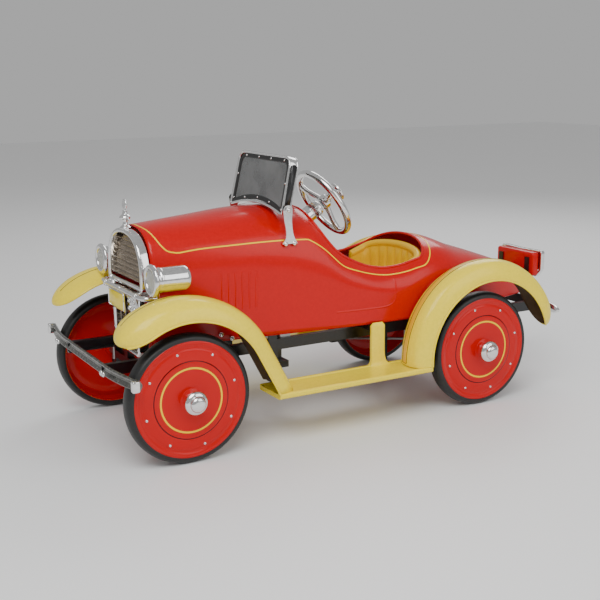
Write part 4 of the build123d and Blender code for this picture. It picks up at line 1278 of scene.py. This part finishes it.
# ---------------------------------------------------------------- windshield
class PEDALCAR_OT_windshield(bpy.types.Operator):
    """Raked windshield: plated frame, riveted rubber gasket, brackets, and the car's bright bolts"""

    bl_idname = "pedalcar.windshield"
    bl_label = "Windshield"

    def execute(self, context):
        high = box_of("windshield_frame")[1]
        half, depth, band = high[0], 0.020, 0.005
        screen_h, arch = 0.121, 0.016
        gasket_in = band + 0.0042
        rake = math.radians(12.5)
        up = np.array([0, math.sin(rake), math.cos(rake)])
        back = np.array([0, math.cos(rake), -math.sin(rake)])
        foot = np.array([0, high[1] - depth * back[1] - screen_h * up[1], high[2] - screen_h * up[2]])

        def place(x, rise, inward):
            return foot + np.array([x, 0, 0]) + rise * up + inward * back

        outline = self.opening(half - band / 2, screen_h - band / 2, band / 2, arch)
        ring = np.array([place(x, v, depth / 2) for x, v in outline])
        outward = self.outward(outline)
        normal = outward[:, :1] * np.array([1.0, 0, 0]) + outward[:, 1:] * up
        frame_bar = Shape()
        frame_bar.tube(carry(ring, round_box(depth / 2, band / 2, 0.0016), normal, closed=True), closed=True)
        for w in (0.0008, depth - 0.0008):
            edge = ring + (w - depth / 2) * back + normal * 0.0016
            frame_bar.tube(carry(edge, circle(0.0017, 10), normal, closed=True), closed=True)
        piece("windshield_frame_bar", frame_bar, ["chrome"], "chassis", ["windshield_frame"], sharp=40)

        side_panel = Shape()
        for sign in (1, -1):
            panel = round_box(0.046, 0.0062, 0.0055, 6)
            points = np.array([place(sign * (half + 0.0003), 0.060 + a, depth / 2 + b) for a, b in panel])
            side_panel.cap(points)
        piece("windshield_side_panels", side_panel, ["black_enamel"], "chassis", wall=0.0006)

        gasket = Shape()
        outline = self.opening(half - gasket_in, screen_h - gasket_in, gasket_in, arch + 0.002)
        ring = np.array([place(x, v, 0.0055) for x, v in outline])
        outward = self.outward(outline)
        normal = outward[:, :1] * np.array([1.0, 0, 0]) + outward[:, 1:] * up
        gasket.tube(carry(ring, round_box(0.0035, 0.0052, 0.0024), normal, closed=True), closed=True)
        piece("windshield_rubber", gasket, ["black_rubber"], "chassis", ["windshield_gasket"])

        bead = Shape()
        for k in np.linspace(0, len(ring), 11, endpoint=False).astype(int):
            dome(bead, ring[k] - back * 0.0033, -back, 0.0024, 0.0016, count=14)
        piece("windshield_rivets", bead, ["chrome"], "chassis")

        brackets, black = Shape(), Shape()
        low, high = box_of("windshield_brackets")
        x0, x1 = high[0] - 0.003, high[0]
        nut = np.array([0, -0.168, 0.456])
        plan = smooth_curve(
            [(-0.168, 0.456), (-0.1675, 0.438), (-0.165, 0.418), (-0.163, 0.400), (-0.163, 0.387)], 24
        )
        width = through([0, 0.8, 0.9, 1], [0.0105, 0.0108, 0.014, 0.0172], np.linspace(0, 1, 24))
        for sign in (1, -1):
            path = np.stack([np.full(24, sign * (x0 + x1) / 2), plan[:, 0], plan[:, 1]], -1)
            section = round_box(1.0, 0.0016, 0.0012, 4)[None] * np.stack([width, np.ones(24)], -1)[:, None]
            black.tube(carry(path, section, (1, 0, 0)))
            centre = np.array([sign * x1, nut[1], nut[2]])
            a = np.linspace(0, 2 * np.pi, 7)[:-1]
            hexagon = [centre + [0, 0.0078 * np.cos(t), 0.0078 * np.sin(t)] for t in a]
            rings = np.array([hexagon, [p + [sign * 0.0045, 0, 0] for p in hexagon]])
            brackets.tube(rings)
            dome(brackets, centre + [sign * 0.0045, 0, 0], (sign, 0, 0), 0.0048, 0.003)
            brackets.turned([(0, 0), (0, 0.0102), (0.0012, 0.0102), (0.0012, 0)], centre, (sign, 0, 0), 28)
            for y in (-0.173, -0.153):
                dome(brackets, (sign * x1, y, 0.387), (sign, 0, 0), 0.0048, 0.0032)
            for y, z in ((-0.318, 0.215), (-0.294, 0.204)):
                dome(brackets, (sign * 0.1145, y, z), (sign, 0, 0), 0.0052, 0.0032)
        for x in (0.133, 0.145):
            for sign in (1, -1):
                dome(brackets, (sign * x, -0.5775, 0.180), (0, -1, 0), 0.0052, 0.0032)
        piece("windshield_bracket_pair", black, ["chrome"], "chassis", ["windshield_brackets"])
        piece("bright_bolts", brackets, ["chrome"], "chassis", ["dome_bolts"], sharp=35)
        return {"FINISHED"}

    @staticmethod
    def opening(half, high, low, arch, corner=0.021, count=150):
        """The screen's outline: straight sides, round top corners, a lower edge arched over the cowl."""
        x = np.linspace(-1, 1, 21)
        lower = np.stack([half * x, low + arch * (1 - x**2)], -1)
        taper = 0.003
        upper = np.array([(half - taper, high), (-half + taper, high)])
        smooth = rounded(np.vstack([lower[10:], upper, lower[:11]]), corner, 8)
        return even(np.vstack([smooth, smooth[:1]]), count + 1)[:-1]

    @staticmethod
    def outward(outline):
        """The outward direction at each point of a closed outline drawn anticlockwise."""
        ahead = unit(np.roll(outline, -1, 0) - np.roll(outline, 1, 0))
        return np.stack([ahead[:, 1], -ahead[:, 0]], -1)


# ---------------------------------------------------------------- steering
class PEDALCAR_OT_steering(bpy.types.Operator):
    """Three-spoke steering wheel with a horn cup, column jacket and rubber collar"""

    bl_idname = "pedalcar.steering"
    bl_label = "Steering"

    def execute(self, context):
        lean = math.radians(31.7)
        axis = np.array([0, math.cos(lean), math.sin(lean)])
        down = np.array([0, math.sin(lean), -math.cos(lean)])
        centre = np.array([0, -0.009, 0.4475])
        side = np.array([1.0, 0, 0])
        ring_r, tube_r = 0.0768, 0.0078

        def at(radius, angle, along=0.0):
            return centre + radius * (math.cos(angle) * side + math.sin(angle) * down) + along * axis

        wheel = Shape()
        turns = np.linspace(0, 2 * np.pi, 120, endpoint=False)
        path = np.array([at(ring_r, a) for a in turns])
        wheel.tube(carry(path, circle(tube_r, 20), axis, closed=True), closed=True)
        boss = [
            (-0.008, 0), (-0.008, 0.012), (-0.004, 0.0155), (0.008, 0.016), (0.012, 0.0135),
            (0.014, 0.009), (0.014, 0),
        ]
        wheel.turned(rounded(boss, 0.002), centre, axis, 48)
        for degrees in (-30, 90, 210):
            a = math.radians(degrees)
            stops = [(0.010, 0.002), (0.025, 0.0015), (0.05, -0.001), (0.074, 0.0)]
            path = smooth_curve([at(r, a, s) for r, s in stops], 22)
            thick = through([0, 0.3, 1], [0.0075, 0.0062, 0.0062], np.linspace(0, 1, 22))[:, None, None]
            wheel.tube(carry(path, circle(1.0, 14)[None] * thick, axis))
        piece("steering_wheel_ring", wheel, ["chrome"], "steering", ["steering_wheel"])

        horn = Shape()
        cup = [
            (0.0135, 0), (0.0135, 0.0048), (0.031, 0.0048), (0.034, 0.008), (0.0355, 0.016), (0.038, 0.0205),
            (0.0415, 0.0218), (0.0425, 0.0212), (0.0415, 0.0190), (0.0395, 0.0172), (0.0388, 0.010),
            (0.0398, 0),
        ]
        horn.turned(smooth_curve(rounded(cup, 0.001), 90), centre, axis, 48)
        piece("horn_cup", horn, ["chrome"], "horn", ["horn_button"])

        jacket = Shape()
        profile = [
            (-0.0155, 0.012), (-0.0155, 0.0165), (-0.018, 0.018), (-0.052, 0.018), (-0.0525, 0.0188),
            (-0.0545, 0.0188),
            (-0.055, 0.018), (-0.0815, 0.018), (-0.0815, 0.012), (-0.0155, 0.012),
        ]
        jacket.turned(rounded(profile, 0.0008), centre, axis, 56)
        piece("column_tube", jacket, ["chrome"], "chassis", ["column_jacket"])
        collar = Shape()
        low, high = -0.0635, -0.0565
        profile = [
            (low, 0.0185), (low, 0.025), (low + 0.0015, 0.0262), (high - 0.0015, 0.0262), (high, 0.025),
            (high, 0.0185), (low, 0.0185),
        ]
        collar.turned(rounded(profile, 0.0008), centre, axis, 56)
        piece("column_collar_ring", collar, ["black_rubber"], "chassis", ["column_collar"])
        return {"FINISHED"}

# ---------------------------------------------------------------- seat
class PEDALCAR_OT_seat(bpy.types.Operator):
    """Padded vinyl seat: fluted back wrapped round the driver with a rolled rim, and a cushion"""

    bl_idname = "pedalcar.seat"
    bl_label = "Seat"

    def execute(self, context):
        size = context.scene.pedal_car_size
        low, high = box_of("seat_back")
        half, depth, y0 = high[0], high[1] - low[1], low[1]
        thick = 0.014
        straight = 0.044
        a = np.linspace(0, np.pi, 141)
        arc = np.stack(
            [(half - thick / 2) * np.cos(a), y0 + straight + (depth - straight - thick / 2) * np.sin(a)],
            -1,
        )
        legs = np.linspace(0, 1, 22)[:, None]
        plan = np.vstack(
            [
                [half - thick / 2, y0 + 0.007] + legs[:-1] * (arc[0] - [half - thick / 2, y0 + 0.007]),
                arc,
                arc[-1] + legs[1:] * ([-half + thick / 2, y0 + 0.007] - arc[-1]),
            ]
        )
        plan = even(plan, 240)
        ahead = unit(np.gradient(plan, axis=0))
        inward = np.stack([-ahead[:, 1], ahead[:, 0]], -1)
        top = high[2] - 0.36 * (high[1] - 0.008 - plan[:, 1]) - 0.007
        top += 0.006 * np.clip((plan[:, 1] - y0 - straight) / (depth - straight), 0, 1)
        s = np.linspace(-1, 1, 240)
        flutes = size.flutes
        puff = 1 - np.abs(np.cos(np.pi * flutes * (s + 1) / 2)) ** 6
        within = np.clip((0.86 - np.abs(s)) / 0.05, 0, 1)
        swell = 0.0042 * puff * within
        end = np.sqrt(np.clip(1 - np.clip((np.abs(s) - 0.965) / 0.035, 0, 1) ** 2, 0.05, 1))
        rows = []
        floor_z = low[2]
        around = np.linspace(0, 1, 14)
        inner_z = [(0.0, 0.0), (0.08, 0.6), (0.3, 1.0), (0.6, 1.0), (0.85, 0.85), (0.95, 0.3), (1.0, 0.0)]
        ks = np.linspace(0, 1, 26)
        lift = through(*np.array(inner_z).T, ks)
        for k, v in zip(ks, lift):
            z = floor_z + k * (top - 0.012 - floor_z)
            off = thick / 2 * end + swell * v
            rows.append(np.stack([plan[:, 0] + inward[:, 0] * off, plan[:, 1] + inward[:, 1] * off, z], -1))
        rim_r = size.seat_rim / 2
        for t in np.linspace(-0.18, 1.15, 14) * np.pi:
            off = 0.001 + rim_r * np.cos(t) * end
            z = top - 0.0065 + rim_r * np.sin(t)
            rows.append(np.stack([plan[:, 0] + inward[:, 0] * off, plan[:, 1] + inward[:, 1] * off, z], -1))
        for k in around:
            z = top - 0.012 + k * (floor_z - top + 0.012)
            off = -thick / 2 * end * (1 - 0.12 * k)
            rows.append(np.stack([plan[:, 0] + inward[:, 0] * off, plan[:, 1] + inward[:, 1] * off, z], -1))
        back = Shape()
        grid = np.array(rows)
        back.grid(grid, wrap_rows=True)
        back.cap(grid[:, 0])
        back.cap(grid[:, -1])
        seat_back = piece("seat_back_padding", back, ["seat_yellow"], "chassis", ["seat_back"], sharp=75)

        low, high = box_of("seat_cushion")
        hx, hy = (high[0] - low[0]) / 2, (high[1] - low[1]) / 2
        cy = (low[1] + high[1]) / 2
        cushion = Shape()
        rows = []
        levels = [
            (0.90, 0.0), (0.985, 0.0015), (1.0, 0.006), (0.998, 0.012), (1.0, 0.018), (0.99, 0.024),
            (0.965, 0.0275),
        ]
        for scale, z in levels:
            ring = round_box(hx * scale, hy * scale, 0.030 * scale, 16)
            rows.append(np.column_stack([ring[:, 0], cy + ring[:, 1], np.full(len(ring), low[2] + z)]))
        for scale in np.linspace(0.94, 0.02, 20):
            ring = round_box(hx * scale, hy * scale, 0.030 * scale, 16)
            u = (1 - scale**2) ** 0.5
            puff = 1 - np.abs(np.cos(np.pi * 6 * (ring[:, 0] / hx + 1) / 2)) ** 8
            flute = 0.0011 * puff * min(1, (0.94 - scale) * 12)
            z = low[2] + 0.0275 + (high[2] - low[2] - 0.0275) * (0.35 + 0.65 * u) + flute
            rows.append(np.column_stack([ring[:, 0], cy + ring[:, 1], z]))
        grid = np.array(rows)
        cushion.grid(grid, wrap_cols=True)
        cushion.cap(grid[0])
        cushion.cap(grid[-1])
        ring = round_box(hx * 0.985, hy * 0.985, 0.030, 16)
        path = np.column_stack([ring[:, 0], cy + ring[:, 1], np.full(len(ring), low[2] + 0.0265)])
        cushion.tube(carry(path, circle(0.0021, 8), (0, 0, 1), closed=True), closed=True)
        seat = piece("seat_cushion_padding", cushion, ["seat_yellow"], "chassis", ["seat_cushion"], sharp=75)
        return {"FINISHED"}


# ---------------------------------------------------------------- running gear
class PEDALCAR_OT_gear(bpy.types.Operator):
    """Finishes of the plain working parts that keep their own shape"""

    bl_idname = "pedalcar.gear"
    bl_label = "Running gear"

    def execute(self, context):
        wanted = {
            "black_enamel": (
                "chassis_frame", "front_axle_beam", "seat_pan", "column_bracket", "axle_bearings",
                "pedal_left", "pedal_right",
            ),
            "bare_steel": (
                "kingpins", "knuckle_left", "knuckle_right", "tie_rod", "steering_shaft", "rear_axle",
                "push_rod_left", "push_rod_right", "pedal_shaft",
            ),
            "body_red": ("dash_panel",),
            "screen_glass": ("windshield_glass",),
        }
        for finish, nodes in wanted.items():
            for name in nodes:
                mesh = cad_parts[name].data
                mesh.materials.clear()
                mesh.materials.append(finish_of(finish))
        return {"FINISHED"}


# ---------------------------------------------------------------- stage
class PEDALCAR_OT_stage(bpy.types.Operator):
    """Pale floor, soft studio light and the camera of the standing view"""

    bl_idname = "pedalcar.stage"
    bl_label = "Stage"

    def execute(self, context):
        scene = context.scene
        light = scene.pedal_car_light
        floor = bpy.data.meshes.new("floor")
        work = bmesh.new()
        bmesh.ops.create_grid(work, x_segments=1, y_segments=1, size=9.0)
        work.to_mesh(floor)
        work.free()
        made, _, shader = new_finish("floor_white", (0.9, 0.9, 0.9))
        shader.inputs["Roughness"].default_value = 0.6
        floor.materials.append(made)
        ground = bpy.data.objects.new("floor", floor)
        scene.collection.objects.link(ground)
        for label, where, aim, across, power in (
            ("key", (1.6, -1.4, 2.6), (0, 0, 0.2), 1.9, light.key),
            ("fill", (2.6, 1.2, 1.7), (0, 0, 0.25), 2.0, light.fill),
            ("rear", (-1.8, 1.9, 2.2), (0, 0, 0.3), 1.6, light.rim),
        ):
            lamp = bpy.data.lights.new(label, "AREA")
            lamp.energy, lamp.size = power, across
            obj = bpy.data.objects.new(label, lamp)
            obj.location = where
            obj.rotation_euler = (Vector(where) - Vector(aim)).to_track_quat("Z", "Y").to_euler()
            scene.collection.objects.link(obj)
        world = bpy.data.worlds.new("studio")
        world.use_nodes = True
        world.node_tree.nodes["Background"].inputs["Color"].default_value = (1.0, 1.0, 1.0, 1)
        world.node_tree.nodes["Background"].inputs["Strength"].default_value = light.sky
        scene.world = world

        eye = bpy.data.cameras.new("camera")
        eye.lens = scene.pedal_car_view.lens
        camera = bpy.data.objects.new("camera", eye)
        view = scene.pedal_car_view
        a, e, roll = view.azimuth, view.elevation, view.roll
        back = Vector((math.sin(a) * math.cos(e), -math.cos(a) * math.cos(e), math.sin(e)))
        right = (-back).cross(Vector((0, 0, 1))).normalized()
        above = right.cross(-back)
        turned = right * math.cos(roll) + above * math.sin(roll)
        axes = Matrix((turned, back.cross(turned), back)).transposed()
        camera.matrix_world = Matrix.Translation(view.place) @ axes.to_4x4()
        scene.collection.objects.link(camera)
        scene.camera = camera
        return {"FINISHED"}


# ---------------------------------------------------------------- panel
class PedalCarSize(bpy.types.PropertyGroup):
    """Sizes of the finish work that the solids don't hold."""

    body_sheet: FloatProperty(
        name="Body sheet", description="Thickness of the body's sheet", default=0.0025, unit="LENGTH"
    )
    rim_bead: FloatProperty(
        name="Cockpit bead", description="Radius of the rolled cockpit rim", default=0.003, unit="LENGTH"
    )
    lining_gap: FloatProperty(
        name="Lining gap", description="Gap between the cockpit's rim and the painted line",
        default=0.017, unit="LENGTH",
    )
    lining_width: FloatProperty(
        name="Lining width", description="Width of a body line", default=0.0028, unit="LENGTH"
    )
    fender_sheet: FloatProperty(
        name="Fender sheet", description="Thickness of the fenders", default=0.002, unit="LENGTH"
    )
    lip_bead: FloatProperty(
        name="Fender bead", description="Radius of the fenders' rolled edge", default=0.0022,
        unit="LENGTH",
    )
    fine_line: FloatProperty(
        name="Fine line", description="Width of the fenders' fine line", default=0.0012, unit="LENGTH"
    )
    rivet_radius: FloatProperty(
        name="Rivet radius", description="Radius of a wheel rivet", default=0.0027, unit="LENGTH"
    )
    seat_rim: FloatProperty(
        name="Seat rim", description="Thickness of the seat's rolled rim", default=0.017, unit="LENGTH"
    )
    flutes: IntProperty(
        name="Seat flutes", description="Number of flutes in the seat back", default=11, min=3, max=24
    )


class PedalCarPaint(bpy.types.PropertyGroup):
    """Paint colours, as linear values."""

    body: FloatVectorProperty(
        name="Body", description="Body and wheel enamel", default=(0.55, 0.0, 0.0), subtype="COLOR", size=3
    )
    fender: FloatVectorProperty(
        name="Fender", description="Fender enamel", default=(0.95, 0.74, 0.035), subtype="COLOR", size=3
    )
    band: FloatVectorProperty(
        name="Fender band", description="Deeper band on the rear fenders",
        default=(0.85, 0.5, 0.02), subtype="COLOR", size=3,
    )
    lining: FloatVectorProperty(
        name="Lining", description="Painted lines", default=(1.0, 0.62, 0.0), subtype="COLOR", size=3
    )
    seat: FloatVectorProperty(
        name="Seat", description="Seat vinyl", default=(0.85, 0.5, 0.0), subtype="COLOR", size=3
    )


class PedalCarLight(bpy.types.PropertyGroup):
    """Studio light."""

    key: FloatProperty(name="Key", description="Power of the soft main light", default=70.0, unit="POWER")
    fill: FloatProperty(name="Fill", description="Power of the fill light", default=26.0, unit="POWER")
    rim: FloatProperty(name="Rim", description="Power of the light from behind", default=30.0, unit="POWER")
    sky: FloatProperty(name="Sky", description="Strength of the white surroundings", default=0.45, min=0.0)


class PedalCarView(bpy.types.PropertyGroup):
    """The standing camera."""

    place: FloatVectorProperty(
        name="Place", description="Where the camera stands",
        default=(1.9346, -1.1821, 0.7327), subtype="TRANSLATION", size=3,
    )
    azimuth: FloatProperty(
        name="Azimuth", description="Turn of the camera round the car",
        default=math.radians(60.103), subtype="ANGLE",
    )
    elevation: FloatProperty(
        name="Elevation", description="Height of the camera's line of sight",
        default=math.radians(12.561), subtype="ANGLE",
    )
    roll: FloatProperty(
        name="Roll", description="Tilt of the camera", default=math.radians(-0.359), subtype="ANGLE"
    )
    lens: FloatProperty(name="Lens", description="Focal length in mm", default=62.07, min=10.0, max=300.0)


PIECES = (
    PEDALCAR_OT_body, PEDALCAR_OT_fenders, PEDALCAR_OT_boards, PEDALCAR_OT_wheels, PEDALCAR_OT_radiator,
    PEDALCAR_OT_lamps, PEDALCAR_OT_bumpers, PEDALCAR_OT_tail, PEDALCAR_OT_windshield, PEDALCAR_OT_steering,
    PEDALCAR_OT_seat, PEDALCAR_OT_gear, PEDALCAR_OT_stage,
)
GROUPS = {
    "pedal_car_size": PedalCarSize,
    "pedal_car_paint": PedalCarPaint,
    "pedal_car_light": PedalCarLight,
    "pedal_car_view": PedalCarView,
}


class PEDALCAR_PT_panel(bpy.types.Panel):
    """Sidebar panel with every group of values and every operator."""

    bl_idname = "PEDALCAR_PT_panel"
    bl_label = "Pedal car"
    bl_space_type = "VIEW_3D"
    bl_region_type = "UI"
    bl_category = "Pedal car"

    def draw(self, context):
        layout = self.layout
        for name, group in GROUPS.items():
            values = getattr(context.scene, name)
            box = layout.box()
            box.label(text=group.__doc__)
            for key in group.__annotations__:
                box.prop(values, key)
        column = layout.column(align=True)
        for operator in PIECES:
            column.operator(operator.bl_idname)


def register():
    for group in GROUPS.values():
        bpy.utils.register_class(group)
    for name, group in GROUPS.items():
        setattr(bpy.types.Scene, name, PointerProperty(type=group))
    for operator in PIECES:
        bpy.utils.register_class(operator)
    bpy.utils.register_class(PEDALCAR_PT_panel)


def unregister():
    bpy.utils.unregister_class(PEDALCAR_PT_panel)
    for operator in reversed(PIECES):
        bpy.utils.unregister_class(operator)
    for name in GROUPS:
        delattr(bpy.types.Scene, name)
    for group in reversed(GROUPS.values()):
        bpy.utils.unregister_class(group)


def main():
    register()
    for operator in PIECES:
        call = getattr(bpy.ops.pedalcar, operator.bl_idname.split(".")[1])
        if call() != {"FINISHED"}:
            raise RuntimeError(operator.bl_label)


if __name__ == "__main__":
    main()
